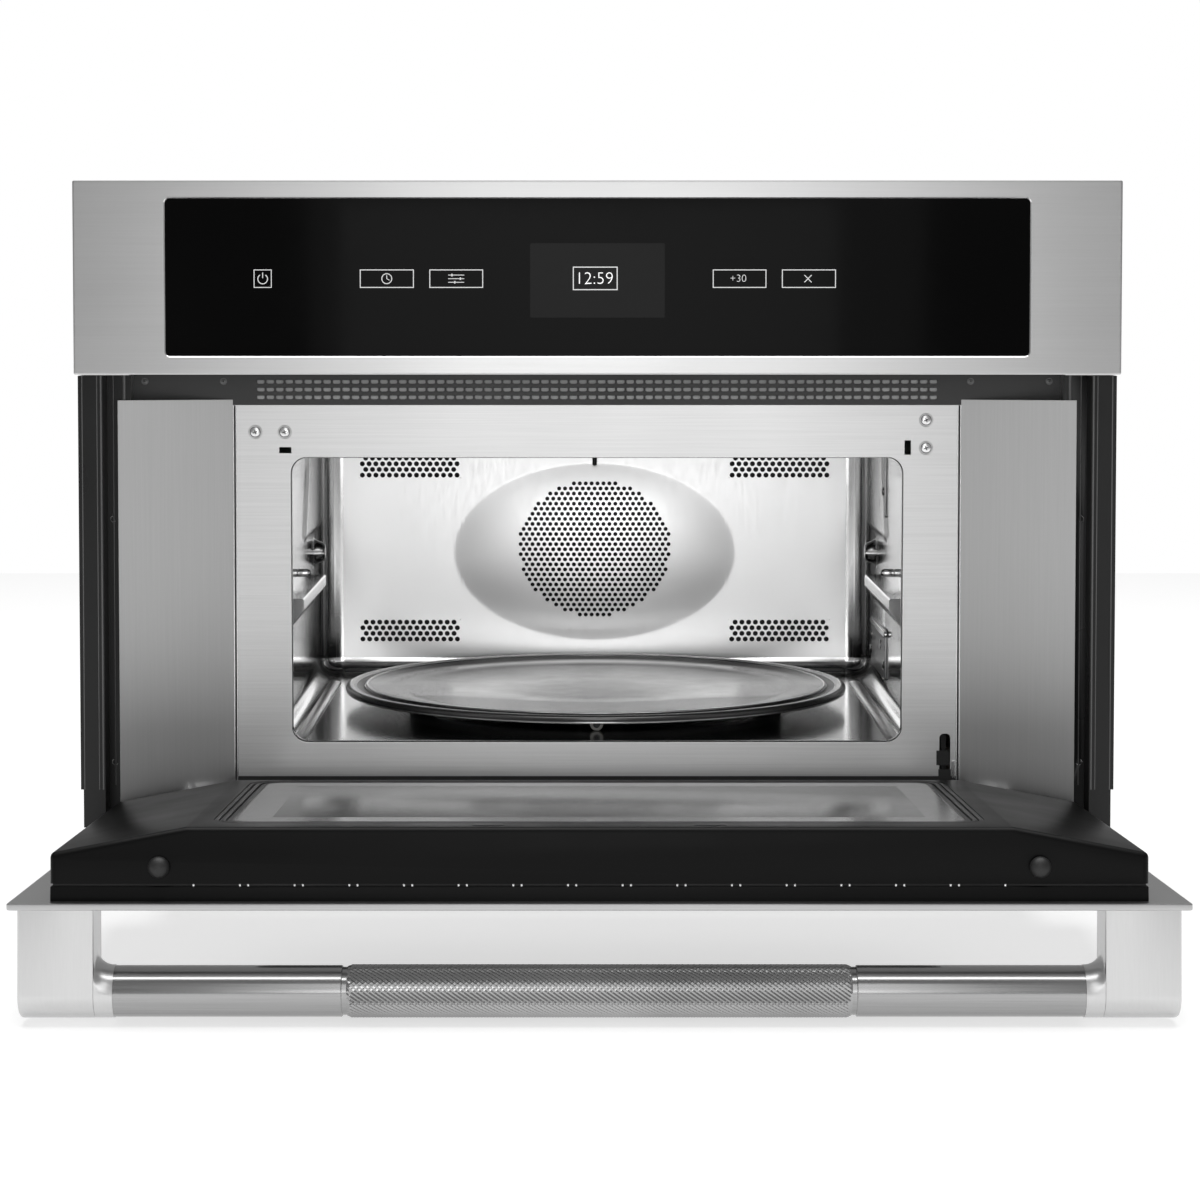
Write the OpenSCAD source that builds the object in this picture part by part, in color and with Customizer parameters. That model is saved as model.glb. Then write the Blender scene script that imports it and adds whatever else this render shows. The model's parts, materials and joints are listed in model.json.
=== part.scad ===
/* [Overall] */
// Width of the whole front, over both side trims
front_w = 756; // [750:1:762]
// Height of the fascia's top edge above the shelf
front_top = 492; // [490:1:498]
// Depth from the closed door's face to the back of the chassis
total_d = 584; // [582:1:620]
// Where the base pan starts, behind the face of the closed door
pan_front = 70; // [70:1:76]
// Half width of the chassis that goes into the cabinet
chassis_hw = 344; // [342:0.5:346]
// Height of the chassis
chassis_h = 468; // [466:1:474]
// Depth of the front that stands proud of the cabinet
proud = 40; // [40:0.5:42]
// Thickness of the folded sheet metal
sheet = 1.5; // [1:0.1:2]

/* [Fascia] */
// Height of the fascia's bottom edge
fascia_z = 352.3; // [351:0.1:354]
// Half width of the control glass
glass_hw = 311.4; // [290:0.1:330]
// Bottom and top edges of the control glass
glass_z = [366, 479]; // [362:1:482]
// Radius of the glass's corners
glass_r = 3; // [2:0.5:6]
// Thickness of the control glass
glass_t = 4; // [3:0.5:5]
// Half width of the display
display_hw = 48.5; // [40:0.5:60]
// Bottom and top edges of the display
display_z = [393.5, 447]; // [390:0.5:450]

/* [Door] */
// Height of the door's bottom edge
door_z = 9; // [8:0.5:10]
// Height of the door's top edge
door_top = 349; // [347:0.5:350]
// Thickness of the door's skin with its folded edge
skin_t = 4.6; // [4:0.1:6]
// Half width of the liner
liner_hw = 352; // [350:0.5:354]
// Bottom of the raised part of the liner, and its top
liner_z = [50, 339]; // [48:1:342]
// Depth of the liner's flat middle and of its outer edges
liner_w = [52, 35.5]; // [32:0.1:52]
// Half width of the liner's flat middle
liner_flat_hw = 265; // [260:1:268]
// Depth of the thin lower part of the door
kick_w = 20; // [16:1:21]
// Half width of the door's window
window_hw = 228; // [200:1:232]
// Bottom and top of the door's window
window_z = [84, 286]; // [80:1:290]
// Angle at which the open door rests, from closed
open_angle = 87; // [84:0.5:89]

/* [Hinge] */
// The pivot: depth behind the front plane and height
pivot = [35, 37]; // [34:0.5:38]
// Radius of the hinge pins
pin_r = 4; // [3.5:0.5:4]
// Outer radius of the hinge knuckles
knuckle_r = 9; // [8:0.5:9]
// Running clearance of every shaft in its bore
fit = 0.05; // [0.03:0.01:0.08]

/* [Handle] */
// Radius of the handle bar
bar_r = 17; // [15:0.5:18]
// Distance from the bar's axis to the face of the door
bar_out = 55.5; // [48:0.1:58]
// Height of the bar's axis on the closed door
bar_z = 322; // [318:1:324]
// Half width over both handle brackets
handle_hw = 373; // [360:0.5:374]
// Width of each handle bracket
bracket_w = 49; // [40:0.5:50]
// Half length of the knurled grip
grip_hw = 162.3; // [140:0.1:170]

/* [Front plate] */
// Depth of the front plate's face
plate_w = 53.2; // [53.2:0.1:54]
// Half width of the front plate
plate_hw = 269; // [268:1:272]
// Bottom and top of the front plate
plate_z = [47, 328.5]; // [46:0.5:329]
// Half width of the aperture
mouth_hw = 226.7; // [220:0.1:230]
// Radius of the aperture's corners
mouth_r = 12; // [8:1:14]
// Depth of the side wings' outer edges
wing_w = 36.1; // [36:0.1:36.2]
// Bottom of the side wings at their outer edges, and their top
wing_z = [34, 332.6]; // [33:0.1:333]
// Bottom and top of the vent strip
strip_z = [328.5, 351]; // [328:0.5:352]

/* [Cavity] */
// Half width of the cavity
cavity_hw = 240; // [232:1:242]
// Heights of the cavity's floor and ceiling
cavity_z = [77.7, 290]; // [76:0.1:292]
// Depth of the cavity's rear wall
cavity_w = 482; // [480:1:486]
// Radius of the cavity's upright rear corners
corner_r = 19; // [18:1:30]
// Height of the rack ledges, and how far they stand out
ledge = [164, 15]; // [10:1:170]

/* [Turntable] */
// Radius of the turntable tray
tray_r = 203; // [190:1:205]
// Depth of the turntable's axis
tray_w = 275; // [270:1:280]
// Height of the tray's rim
tray_top = 94.5; // [94:0.5:96]
// Radius of the rollers
roller_r = 5.1; // [5:0.05:5.1]
// Radius of the track that the rollers run on
track_r = 160; // [150:1:170]

/* [Mounts] */
// Spacing of the cabinet screws across and up
screw_pattern = [712, 180]; // [170:1:712]
// Height of the lower cabinet screws
screw_z = 65; // [60:1:75]
// Radius of the cabinet screw holes
screw_hole_r = 2.25; // [2:0.05:2.6]

/* [Hidden] */
$fn = 64;
// Everything is placed by its depth behind the closed door's face, which lies on this plane
front_y = -(pan_front + total_d) / 2;
// Overlap that keeps a cut clear of the faces it goes through
cut = 1;
front_hw = front_w / 2;
cavity_mid_z = (cavity_z[0] + cavity_z[1]) / 2;
floor_under = cavity_z[0] - sheet;
ceiling_over = cavity_z[1] + sheet;
wall_out = cavity_hw + sheet;
inner_hw = chassis_hw - sheet;
steel = "#b9bcbe";
bright = "#d4d6d8";
galvanised = "#a7abad";
black = "#26282a";
dark = "#121314";

// A box between two opposite corners, its depths counted back from the front plane
module block(x, w, z)
    translate([x[0], front_y + w[0], z[0]]) cube([x[1] - x[0], w[1] - w[0], z[1] - z[0]]);

// A flat shape drawn on the X-Z plane, given its depths from front to back
module upright(w)
    translate([0, front_y + w[1], 0]) rotate([90, 0, 0]) linear_extrude(w[1] - w[0]) children();

// A flat shape drawn in plan, with its second axis counted back from the front plane
module plan(z)
    translate([0, front_y, z[0]]) linear_extrude(z[1] - z[0]) children();

// A cylinder along Y through a point of the X-Z plane
module bar_y(x, w, z, r)
    translate([x, front_y + w[1], z]) rotate([90, 0, 0]) cylinder(r = r, h = w[1] - w[0]);

// A cylinder along X through a point given by its depth and height
module bar_x(x, w, z, r)
    translate([x[0], front_y + w, z]) rotate([0, 90, 0]) cylinder(r = r, h = x[1] - x[0]);

// A cylinder along Z
module bar_z_up(x, w, z, r)
    translate([x, front_y + w, z[0]]) cylinder(r = r, h = z[1] - z[0]);

// A rectangle with true round corners, between two corners
module round_rect(x, z, r) {
    translate([x[0] + r, z[0]]) square([x[1] - x[0] - 2 * r, z[1] - z[0]]);
    translate([x[0], z[0] + r]) square([x[1] - x[0], z[1] - z[0] - 2 * r]);
    for (px = [x[0] + r, x[1] - r], pz = [z[0] + r, z[1] - r]) translate([px, pz]) circle(r);
}

// The same again on the other side of the middle
module both_sides() {
    children();
    mirror([1, 0, 0]) children();
}

// A low-headed screw that faces the front
screw_head = 0.9;
module screw(x, w, z, head_r, shank) {
    bar_y(x, [w - screw_head, w], z, head_r);
    bar_y(x, [w, w + shank], z, head_r * 0.45);
}

// The door's parts are drawn closed, and this turns them down to where the open door rests
module opened()
    translate([0, front_y + pivot[0], pivot[1]]) rotate([open_angle, 0, 0])
        translate([0, -front_y - pivot[0], -pivot[1]]) children();

// Sheet metal tray that the oven stands on, with its edges turned up
module base_pan() color(galvanised) {
    lip = 14;
    block([-chassis_hw, chassis_hw], [pan_front, total_d], [0, sheet]);
    both_sides() block([inner_hw - sheet, inner_hw], [pan_front, total_d - sheet], [sheet, lip]);
    block([-inner_hw + sheet, inner_hw - sheet], [pan_front, pan_front + sheet], [sheet, lip]);
}

// Lid of the chassis, with rows of vent slots
module top_cover() color(galvanised) {
    slot = [46, 5];
    pitch = [60, 14];
    translate([0, front_y, chassis_h - sheet]) linear_extrude(sheet) difference() {
        translate([-chassis_hw, proud]) square([2 * chassis_hw, total_d - proud]);
        for (column = [-2:2], row = [0:3])
            translate([column * pitch[0] - slot[0] / 2, total_d - 120 + row * pitch[1]]) square(slot);
    }
}

// Side of the chassis, from the trim to the rear panel
module side_panel_right() color(galvanised) {
    cutaway = 50;
    block([inner_hw, chassis_hw], [proud, total_d - sheet], [cutaway, chassis_h - sheet]);
    block([inner_hw, chassis_hw], [pan_front, total_d - sheet], [sheet, cutaway]);
}

module side_panel_left() mirror([1, 0, 0]) side_panel_right();

// Rear of the chassis, with exhaust louvres and the opening for the supply cord's gland
module rear_panel() color(galvanised) difference() {
    slot = [90, 5];
    pitch = [110, 13];
    block([-chassis_hw, chassis_hw], [total_d - sheet, total_d], [sheet, chassis_h - sheet]);
    upright([total_d - sheet - cut, total_d + cut]) for (column = [-2:2], row = [0:4])
        translate([column * pitch[0] - slot[0] / 2, 380 + row * pitch[1]]) square(slot);
    bar_y(gland_at[0], [total_d - sheet - cut, total_d + cut], gland_at[1], gland_r);
}

// Bushing that the supply cord passes through
gland_at = [-290, 40];
gland_r = 11;
module cord_gland() color(black) difference() {
    flange = 4;
    bore = 6;
    union() {
        bar_y(gland_at[0], [total_d - sheet - flange, total_d], gland_at[1], gland_r);
        bar_y(gland_at[0], [total_d - sheet - flange, total_d - sheet], gland_at[1], gland_r + flange);
    }
    bar_y(gland_at[0], [total_d - sheet - flange - cut, total_d + cut], gland_at[1], bore);
}

// Floor of the cavity, with a hole for the turntable's shaft
module cavity_floor() color(steel) difference() {
    block([-wall_out, wall_out], [plate_w + sheet, cavity_w + sheet], [floor_under, cavity_z[0]]);
    bar_z_up(0, tray_w, [floor_under - cut, cavity_z[0] + cut], shaft_r + 1.5);
}

module cavity_ceiling() color(steel)
    block([-wall_out, wall_out], [plate_w + sheet, cavity_w + sheet], [cavity_z[1], ceiling_over]);

// Side wall of the cavity with its pressed-in rack ledge and the studs that locate a rack
ledge_w = [150, 333];
ledge_h = 22;
studs = [[250, 186], [400, 190]];
stud = [9, 6, 5];
module wall_panel() color(steel) {
    block([cavity_hw, wall_out], [plate_w + sheet, cavity_w - corner_r], cavity_z);
    block([cavity_hw - ledge[1], cavity_hw], ledge_w, [ledge[0] - ledge_h / 2, ledge[0] + ledge_h / 2]);
    for (end = ledge_w)
        bar_x([cavity_hw - ledge[1], cavity_hw], end, ledge[0], ledge_h / 2);
    for (at = studs)
        for (side = [-stud[0] / 2, stud[0] / 2])
            bar_x([cavity_hw - stud[2], cavity_hw], at[0] + side, at[1], stud[1]);
    for (at = studs)
        block([cavity_hw - stud[2], cavity_hw], [at[0] - stud[0] / 2, at[0] + stud[0] / 2],
            [at[1] - stud[1], at[1] + stud[1]]);
}

// Right wall, with the microwave port behind its cover
module cavity_wall_right() color(steel) difference() {
    wall_panel();
    block([cavity_hw - cut, wall_out + cut], port_w, port_z);
}

// Left wall, with a patch of holes for the lamp
module cavity_wall_left() color(steel) difference() {
    hole_r = 2;
    mirror([1, 0, 0]) wall_panel();
    for (dw = [-2:2], dz = [-1:1])
        bar_x([-wall_out - cut, -cavity_hw + cut], lamp_at[0] + dw * 6, lamp_at[1] + dz * 6, hole_r);
}

// Rear wall of the cavity with its round upright corners, an air inlet and four vented patches
vent_x = [118, 204];
vent_z = [[106, 120.9], [249.3, 264.2]];
vent_rows = 4;
vent_slot_h = 2.6;
inlet_r = 58;
module cavity_rear_panel() color(steel) difference() {
    union() {
        block([-cavity_hw + corner_r, cavity_hw - corner_r], [cavity_w, cavity_w + sheet], cavity_z);
        both_sides() plan(cavity_z) translate([cavity_hw - corner_r, cavity_w - corner_r])
            intersection() {
                difference() { circle(corner_r + sheet); circle(corner_r); }
                square(2 * corner_r);
            }
    }
    upright([cavity_w - cut, cavity_w + sheet + cut]) {
        translate([0, cavity_mid_z]) circle(inlet_r);
        both_sides() for (patch = vent_z, row = [0:vent_rows - 1])
            translate([vent_x[0], patch[0] + row * (patch[1] - patch[0]) / (vent_rows - 1)
                - vent_slot_h / 2]) square([vent_x[1] - vent_x[0], vent_slot_h]);
    }
}

// Oval dished cover over the fan, bulging into the cavity, with rings of slots
cover_size = [123.6, 78];
cover_rise = 17;
cover_end_r = 60;
module fan_cover() color(steel) difference() {
    shell = 1.2;
    ball_r = (cover_size[0] * cover_size[0] + cover_rise * cover_rise) / (2 * cover_rise);
    intersection() {
        upright([cavity_w - cover_rise - cut, cavity_w]) translate([0, cavity_mid_z])
            oval(cover_size, cover_end_r);
        translate([0, front_y + cavity_w - cover_rise + ball_r, cavity_mid_z]) sphere(ball_r, $fn = 256);
    }
    intersection() {
        upright([cavity_w - cover_rise - cut, cavity_w + cut]) translate([0, cavity_mid_z])
            oval([cover_size[0] - shell, cover_size[1] - shell], cover_end_r - shell);
        translate([0, front_y + cavity_w - cover_rise + ball_r, cavity_mid_z])
            sphere(ball_r - shell, $fn = 256);
    }
    upright([cavity_w - 2 * cover_rise, cavity_w]) translate([0, cavity_mid_z])
        for (ring = [18, 38], turn = [0:30:359])
            rotate(turn) translate([ring, 0]) square([14, 3], center = true);
}

// Oval of four true arcs, from its half width and half height and the radius of its ends
module oval(half, end_r) {
    end_x = half[0] - end_r;
    drop = half[1] - end_r;
    flat_k = (end_x * end_x - drop * drop) / (2 * drop);
    flat_r = half[1] + flat_k;
    join_x = end_x * flat_r / (flat_r - end_r);
    intersection() {
        translate([0, -flat_k]) circle(flat_r);
        translate([0, flat_k]) circle(flat_r);
        square([2 * join_x, 2 * half[1] + 2 * cut], center = true);
    }
    for (side = [-1, 1]) translate([side * end_x, 0]) circle(end_r);
}

// Front plate round the cavity's mouth
module front_plate() color(bright) upright([plate_w, plate_w + sheet]) difference() {
    translate([-plate_hw, plate_z[0]]) square([2 * plate_hw, plate_z[1] - plate_z[0]]);
    round_rect([-mouth_hw, mouth_hw], cavity_z, mouth_r);
    for (at = plate_screws) translate(at) circle(plate_screw_r * 0.5);
    for (s = plate_slots) translate([s[0] - s[2] / 2, s[1] - s[3] / 2]) square([s[2], s[3]]);
    round_rect(lock_slot_x, lock_slot_z, 3);
}

// Screws and slots of the front plate: each slot is its centre, width and height
plate_screws = [[-252.7, 308.5], [-231.0, 308.5], [243.3, 317.4], [243.3, 296.7]];
plate_screw_r = 4.7;
plate_slots = [[-230.6, 295, 8.8, 4.4], [229.8, 297, 4.6, 10.4]];
lock_slot_x = [254.5, 262.5];
lock_slot_z = [51, 84];
module front_plate_screws() color(bright)
    for (at = plate_screws) screw(at[0], plate_w, at[1], plate_screw_r, 8);

// Slanted plate between the front plate and the side trim
wing_t = 1;
module side_wing_right() color(steel) difference() {
    plan(wing_z) polygon([[plate_hw, plate_w], [liner_hw, wing_w],
        [liner_hw, wing_w + wing_t], [plate_hw, plate_w + wing_t]]);
    upright([wing_w - 1, plate_w + wing_t + 1]) polygon([[plate_hw - 1, wing_z[0] - 1],
        [liner_hw + 1, wing_z[0] - 1], [liner_hw + 1, wing_z[0]], [liner_hw, wing_z[0]],
        [plate_hw, plate_z[0]], [plate_hw - 1, plate_z[0]]]);
}

module side_wing_left() mirror([1, 0, 0]) side_wing_right();

// Trim that covers the gap to the cabinet: a flange for the cabinet screws and a hollow outer rail
rail_x = 360;
rail_w = 18;
rail_step_z = 48;
flange_t = 0.8;
module side_trim_right() color(black) difference() {
    rail_bottom = 20;
    step_in = 2;
    flange_bottom = 26;
    union() {
        plan([rail_step_z, strip_z[1]]) difference() {
            polygon([[inner_hw, proud - flange_t], [rail_x, proud - flange_t], [rail_x, rail_w],
                [front_hw, rail_w], [front_hw, proud], [inner_hw, proud]]);
            translate([rail_x + sheet, rail_w + sheet])
                square([front_hw - rail_x - 2 * sheet, proud - rail_w - 2 * sheet]);
        }
        block([rail_x, front_hw - step_in], [rail_w, proud], [rail_bottom, rail_step_z]);
        block([inner_hw, rail_x], [proud - flange_t, proud], [flange_bottom, rail_step_z]);
    }
    for (dz = [0, screw_pattern[1]])
        bar_y(screw_pattern[0] / 2, [0, total_d], screw_z + dz, screw_hole_r);
}

module side_trim_left() mirror([1, 0, 0]) side_trim_right();

// Slotted strip above the door where the cooling air leaves
grille_hw = 253;
strip_screw_x = [276, 334];
strip_screw_z = 346;
strip_screw_r = 2.6;
module vent_strip() color(black) {
    slots = 23;
    slot = [17, 3];
    row_pitch = 5.6;
    slot_pitch = 2 * grille_hw / slots;
    upright([plate_w, plate_w + sheet]) difference() {
        translate([-inner_hw, strip_z[0]]) square([2 * inner_hw, strip_z[1] - strip_z[0]]);
        both_sides() translate([plate_hw - 0.5, strip_z[0] - cut])
            square([inner_hw - plate_hw + 1, wing_z[1] - strip_z[0] + 0.2]);
        for (column = [0:slots - 1], row = [-1:1])
            translate([-grille_hw + (column + 0.5) * slot_pitch - slot[0] / 2,
                (strip_z[0] + strip_z[1]) / 2 + row * row_pitch - slot[1] / 2]) square(slot);
        both_sides() for (x = strip_screw_x) translate([x, strip_screw_z]) circle(strip_screw_r * 0.5);
    }
}

module strip_screws() color(bright) both_sides()
    for (x = strip_screw_x) screw(x, plate_w, strip_screw_z, strip_screw_r, 6);

// Stainless fascia: a folded box, open behind, with a window for the control glass
module control_frame() color(bright) {
    frame_z = [fascia_z, front_top];
    back_flange = 48;
    upright([0, sheet]) difference() {
        translate([-front_hw, frame_z[0]]) square([front_w, frame_z[1] - frame_z[0]]);
        round_rect([-glass_hw, glass_hw], glass_z, glass_r);
    }
    for (z = [frame_z[0], frame_z[1] - sheet])
        block([-front_hw, front_hw], [sheet, proud], [z, z + sheet]);
    both_sides() {
        block([front_hw - sheet, front_hw], [sheet, proud],
            [frame_z[0] + sheet, frame_z[1] - sheet]);
        block([front_hw - back_flange, front_hw - sheet], [proud - sheet, proud],
            [frame_z[0] + sheet, frame_z[1] - sheet]);
    }
}

// Black control glass, set into the fascia
module control_glass() color(dark) upright([0.2, glass_t])
    round_rect([-glass_hw, glass_hw], glass_z, glass_r);

// Lit clock display behind the glass
module display_module() color("#303436") {
    depth = 11;
    block([-display_hw, display_hw], [glass_t, glass_t + depth], display_z);
    block([-display_hw + 10, display_hw - 10], [glass_t + depth, glass_t + depth + 4],
        [display_z[0] + 8, display_z[1] - 8]);
}

// Capacitive touch boards on each side of the display
module touch_board() color("#2c4f36") both_sides()
    block([display_hw, glass_hw - 12], [glass_t, glass_t + 1.6], [glass_z[0] + 8, glass_z[1] - 8]);

// Main control board on its bracket above the cavity, with relays, capacitors and a small transformer
module main_board() color("#2c4f36") {
    board_x = [-320, -170];
    board_w = [110, 230];
    board_z = ceiling_over + 12;
    board_t = 1.6;
    block(board_x, board_w, [board_z, board_z + board_t]);
    for (x = [board_x[0], board_x[1] - 8], w = [board_w[0], board_w[1] - 8])
        block([x, x + 8], [w, w + 8], [ceiling_over, board_z]);
    block([board_x[0], -wall_out], board_w, [ceiling_over - sheet, ceiling_over]);
    for (n = [0:3])
        block([-312 + n * 24, -294 + n * 24], [118, 146], [board_z + board_t, board_z + 18]);
    for (n = [0:2]) bar_z_up(-210 + n * 14, 130, [board_z + board_t, board_z + 24], 5);
    block([-300, -262], [170, 204], [board_z + board_t, board_z + 30]);
}

// Covers over the microwave port and the light on the right wall, each with two screws
port_w = [345, 415];
port_z = [100, 140];
cover_plates = [[330, 440, 90, 152], [345, 440, 214, 262]];
cover_t = 1;
module waveguide_cover() color(bright) for (c = cover_plates) {
    block([cavity_hw - cover_t, cavity_hw], [c[0], c[1]], [c[2], c[3]]);
    for (w = [c[0] + 9, c[1] - 22])
        bar_x([cavity_hw - cover_t - 1.4, cavity_hw - cover_t], w, c[2] + (c[3] - c[2]) * 0.45, 4);
}

// Duct that carries the microwaves from the magnetron down to the port
guide_w = [335, 425];
guide_x = [wall_out, wall_out + 26];
guide_top = 440;
antenna_z = 400;
antenna_r = 9;
module waveguide() color(galvanised) difference() {
    bottom = 92;
    block(guide_x, guide_w, [bottom, guide_top]);
    block([guide_x[0] + sheet, guide_x[1] - sheet], [guide_w[0] + sheet, guide_w[1] - sheet],
        [bottom + sheet, guide_top - sheet]);
    block([guide_x[0] - cut, guide_x[0] + sheet + cut], port_w, port_z);
    bar_x([guide_x[0] - cut, guide_x[0] + sheet + cut], tube_w, antenna_z, antenna_r + 1);
}

// Magnetron with cooling fins, magnets, filter box and antenna
tube_w = 380;
module magnetron() color("#9aa0a6") {
    body = [[guide_x[0] - 88, guide_x[0]], [tube_w - 46, tube_w + 46], [antenna_z - 42, antenna_z + 38]];
    fins = 8;
    plate_t = 2;
    for (x = [body[0][0], body[0][1] - plate_t]) block([x, x + plate_t], body[1], body[2]);
    for (z = [body[2][0], body[2][1] - plate_t])
        block([body[0][0] + plate_t, body[0][1] - plate_t], body[1], [z, z + plate_t]);
    bar_x([body[0][0] + plate_t, body[0][1] - plate_t], tube_w, antenna_z, 19);
    for (n = [1:fins]) let (x = body[0][0] + 14 + n * 6)
        block([x, x + 0.8], [body[1][0] + 4, body[1][1] - 4], [body[2][0] + plate_t, body[2][1] - plate_t]);
    bar_x([body[0][1], body[0][1] + 20], tube_w, antenna_z, antenna_r - 1);
    block([body[0][0] - 28, body[0][0]], [tube_w - 32, tube_w + 32], [antenna_z - 30, antenna_z + 26]);
    block([body[0][0] + 10, body[0][1] - 10], [tube_w - 20, tube_w + 20], [ceiling_over, body[2][0]]);
}

// High-voltage transformer: laminated core with two windings, on its feet
module hv_transformer() color("#5b5048") {
    core = [[248, 336], [140, 230], [sheet + 4, 84]];
    block(core[0], core[1], core[2]);
    block([core[0][0] + 12, core[0][1] - 12], [core[1][0] - 17, core[1][1] + 17], [26, 64]);
    block([core[0][0] - 2, core[0][1] + 2], [core[1][0] + 8, core[1][1] - 8], [sheet, core[2][0]]);
}

// High-voltage capacitor in its clamp, with two terminals
module hv_capacitor() color("#b4b8bb") {
    can = [[262, 322], [252, 288], [sheet, 96]];
    tabs = [278, 306];
    block([can[0][0] + 18, can[0][1] - 18], can[1], can[2]);
    for (x = [can[0][0] + 18, can[0][1] - 18])
        bar_z_up(x, (can[1][0] + can[1][1]) / 2, can[2], (can[1][1] - can[1][0]) / 2);
    for (x = tabs) block([x - 3, x + 3], [269, 271], [can[2][1], can[2][1] + 14]);
}

// Scroll housing of the cooling blower, with an inlet at each end and an outlet at the front
fan_x = [-90, 30];
fan_w = 500;
fan_z = 378;
scroll_r = 66;
outlet = [[400, 445], [fan_z + 8, fan_z + scroll_r]];
module blower_housing() color(black) difference() {
    inlet = 42;
    union() {
        bar_x(fan_x, fan_w, fan_z, scroll_r);
        block(fan_x, [outlet[0][0], fan_w], outlet[1]);
        for (x = [fan_x[0], fan_x[1] - 8])
            block([x, x + 8], [fan_w - 30, fan_w - 18], [ceiling_over, fan_z - 40]);
        block([fan_x[0], fan_x[1]], [cavity_w - 12, cavity_w - 2], [ceiling_over, ceiling_over + 6]);
    }
    bar_x([fan_x[0] + 2, fan_x[1] - 2], fan_w, fan_z, scroll_r - 2);
    block([fan_x[0] + 2, fan_x[1] - 2], [outlet[0][0] - cut, fan_w], [outlet[1][0] + 2, outlet[1][1] - 2]);
    bar_x([fan_x[0] - cut, fan_x[1] + cut], fan_w, fan_z, inlet);
}

// Squirrel-cage wheel of the cooling blower, on the motor's shaft
wheel_r = 56;
blower_shaft_r = 3;
module blower_wheel() color("#3a3d40") difference() {
    blades = 20;
    blade_l = 12;
    wheel_x = [fan_x[0] + 8, fan_x[1] - 8];
    middle = (fan_x[0] + fan_x[1]) / 2;
    union() {
        bar_x([middle - 1, middle + 1], fan_w, fan_z, wheel_r);
        bar_x([middle - 12, middle + 12], fan_w, fan_z, 10);
        for (x = [wheel_x[0], wheel_x[1] - 2]) difference() {
            bar_x([x, x + 2], fan_w, fan_z, wheel_r);
            bar_x([x - cut, x + 2 + cut], fan_w, fan_z, wheel_r - blade_l);
        }
        translate([0, front_y + fan_w, fan_z]) for (n = [0:blades - 1]) rotate([n * 360 / blades, 0, 0])
            translate([wheel_x[0], -0.8, wheel_r - blade_l])
                cube([wheel_x[1] - wheel_x[0], 1.6, blade_l - 0.5]);
    }
    bar_x([middle - 13, middle + 13], fan_w, fan_z, blower_shaft_r + fit);
}

// Motor of the cooling blower with its long shaft and a bracket
module blower_motor() color("#7d8387") {
    motor_x = [fan_x[1] + 14, fan_x[1] + 62];
    bar_x([motor_x[0], motor_x[1]], fan_w, fan_z, 36);
    bar_x([(fan_x[0] + fan_x[1]) / 2 - 20, motor_x[0]], fan_w, fan_z, blower_shaft_r);
    block([motor_x[0] + 10, motor_x[1] - 10], [cavity_w - 14, cavity_w], [ceiling_over, fan_z - 20]);
}

// Casing behind the rear wall that holds the convection fan and its heater
hot_x = 150;
hot_w = [cavity_w + sheet, cavity_w + 58];
hot_z = [88, 283];
hot_shaft_r = 4;
module convection_housing() color(galvanised) difference() {
    block([-hot_x, hot_x], hot_w, hot_z);
    block([-hot_x + sheet, hot_x - sheet], [hot_w[0] - cut, hot_w[1] - sheet],
        [hot_z[0] + sheet, hot_z[1] - sheet]);
    bar_y(0, [hot_w[1] - 2 * sheet, hot_w[1] + cut], cavity_mid_z, hot_shaft_r + 3);
    for (x = lead_x) bar_y(x, [hot_w[1] - 2 * sheet, hot_w[1] + cut], cavity_mid_z + lead_rise, heater_r);
}

// Convection fan: a hub with six flat blades
module convection_fan() color(steel) difference() {
    blades = 6;
    fan_depth = [hot_w[0] + 10, hot_w[0] + 36];
    union() {
        bar_y(0, fan_depth, cavity_mid_z, 14);
        bar_y(0, [fan_depth[1] - 1.5, fan_depth[1]], cavity_mid_z, 62);
        translate([0, front_y + fan_depth[0], cavity_mid_z]) for (n = [0:blades - 1])
            rotate([0, n * 360 / blades, 0]) translate([10, 0, -0.8])
                cube([60, fan_depth[1] - fan_depth[0], 1.6]);
    }
    bar_y(0, [fan_depth[0] - cut, fan_depth[1] + cut], cavity_mid_z, hot_shaft_r + fit);
}

// Motor of the convection fan, behind the casing
module convection_motor() color("#7d8387") {
    bar_y(0, [hot_w[1], total_d - 6], cavity_mid_z, 34);
    bar_y(0, [hot_w[0] + 8, hot_w[1]], cavity_mid_z, hot_shaft_r);
}

// Ring heater round the convection fan, with two leads out of the casing
heater_r = 3.5;
heater_ring_r = 84;
lead_x = [-12, 12];
lead_rise = sqrt(heater_ring_r * heater_ring_r - 144);
module convection_heater() color("#4a4744") {
    translate([0, front_y + hot_w[0] + 22, cavity_mid_z]) rotate([90, 0, 0])
        rotate_extrude() translate([heater_ring_r, 0]) circle(heater_r);
    for (x = lead_x) bar_y(x, [hot_w[0] + 22, hot_w[1] + 8], cavity_mid_z + lead_rise, heater_r);
}

// Lamp behind the left wall
lamp_at = [250, 240];
module cavity_lamp() color("#e6e2d4") {
    bar_x([-wall_out - 3, -wall_out], lamp_at[0], lamp_at[1], 22);
    bar_x([-wall_out - 30, -wall_out - 3], lamp_at[0], lamp_at[1], 9);
    bar_x([-wall_out - 52, -wall_out - 30], lamp_at[0], lamp_at[1], 13);
}

// Turntable motor under the cavity's floor, with its shaft up through the floor
shaft_r = 3.5;
coupling_z = [78.5, 85.4];
module turntable_motor() color("#8b9094") {
    motor_z = [floor_under - 24, floor_under];
    bar_z_up(0, tray_w, [motor_z[0], motor_z[1] - 2], 25);
    block([-32, 32], [tray_w - 9, tray_w + 9], [motor_z[1] - 2, motor_z[1]]);
    bar_z_up(0, tray_w, [motor_z[1] - 2, coupling_z[1] - 1.5], shaft_r);
}

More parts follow.
